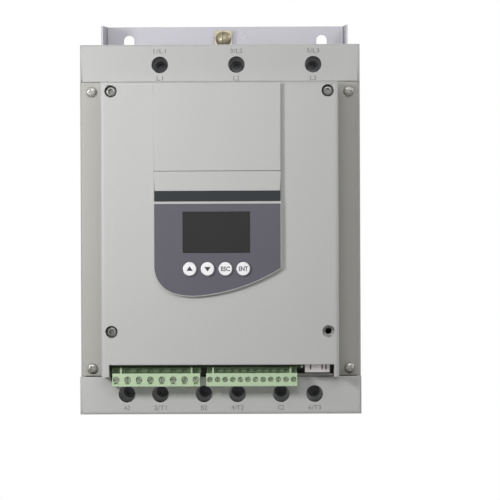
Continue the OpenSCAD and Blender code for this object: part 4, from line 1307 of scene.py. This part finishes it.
@dataclass
class Connectors:
    """Control board with its headers, plugs, clamp screws and serial socket."""

    relay_screw: Screw = Screw(2.1, 0.5, 2.1, 1.5, Drive.SLOT, 2.3, 0.7, 0.9, fullness=8.0, turns=64)
    control_screw: Screw = Screw(1.75, 0.5, 1.75, 1.5, Drive.SLOT, 2.0, 0.6, 0.9, fullness=8.0, turns=64)
    relay_poles: int = 8
    control_poles: int = 12
    first_turn: float = 20.0
    turn_step: float = 67.0
    header_edge: float = 0.3
    socket_edge: float = 0.12
    slit_shares: tuple[float, ...] = (-0.27, 0.2, 0.35)

    def build(self) -> None:
        """Dresses the connectors and adds their metal parts."""
        dress(BOARD, "control_board")
        dress(TINNED, "header_pins")
        for node in ("relay_header", "control_header"):
            softened(node, HEADER_GREEN, self.header_edge)
        for node in ("relay_plug", "control_plug"):
            softened(node, PLUG_GREEN)
        self.clamp_screws("relay", self.relay_poles, self.relay_screw)
        self.clamp_screws("control", self.control_poles, self.control_screw)
        self.serial_socket()

    def serial_socket(self) -> None:
        """Shielded socket, its slits placed as shares of its width from its middle."""
        low, high = box_mm("serial_socket")
        xs = tuple((low[0] + high[0]) / 2 + share * (high[0] - low[0]) for share in self.slit_shares)
        # The shield's finish paints shade inside its slits.
        shield = SlitMetal("socket_shield", "#c9c5c5", "#aca7a7", roughness=0.36, metallic=0.45, slit_xs=xs,
                           face_y=low[1])
        softened("serial_socket", shield, self.socket_edge)

    def clamp_screws(self, name: str, count: int, screw: Screw) -> None:
        """Slotted clamp screws of one plug, each at its own angle.

        Args:
            name: Name of the plug.
            count: Number of its poles.
            screw: Screw of one pole.
        """
        low, high = box_mm(name + "_plug_screws")
        xs = np.linspace(low[0] + screw.head_r, high[0] - screw.head_r, count)
        z = (low[2] + high[2]) / 2
        turns = self.first_turn + self.turn_step * np.arange(count)
        screws = [(screw, turn, (x, low[1] + screw.head_h, z)) for turn, x in zip(turns, xs)]
        piece = screw_group(name + "_clamp_screws", screws, CLAMP_STEEL, name + "_connector")
        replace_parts(piece, name + "_plug_screws")


@dataclass
class PowerPath:
    """Thyristor modules, copper bars, terminals and the firing board inside the housing."""

    def build(self) -> None:
        """Dresses the power parts."""
        dress(EPOXY, *(f"thyristor_module_{i}" for i in (1, 2, 3)))
        dress(COPPER, *(f"{kind}_bar_{i}" for kind in ("line", "load", "bypass") for i in (1, 2, 3)))
        dress(BLACK, *(f"current_transformer_{i}" for i in (1, 2, 3)), "terminal_bases")
        dress(TINNED, "terminal_cages")
        dress(DARK_STEEL, "terminal_screws")
        dress(STEEL, "module_screws", "bar_screws", "board_pillars")
        dress(BOARD, "firing_board")


@dataclass
class Cooling:
    """Finned heat sink with two fans below it."""

    def build(self) -> None:
        """Dresses the cooling parts."""
        dress(ALUMINIUM, "heat_sink")
        for side in ("left", "right"):
            softened("fan_frame_" + side, FAN_BLACK)
            softened("fan_rotor_" + side, FAN_BLACK)
        dress(BLACK, "fan_guards")
        dress(STEEL, "fan_screws")


def main() -> None:
    """Builds every sub-assembly in order."""
    logging.basicConfig(level=logging.INFO, format="%(message)s")
    for assembly in (Stage(), Chassis(), Housing(), FrontCover(), Keypad(), Connectors(), PowerPath(), Cooling()):
        assembly.build()
        LOG.info("%s is done", type(assembly).__name__)


if __name__ == "__main__":
    main()
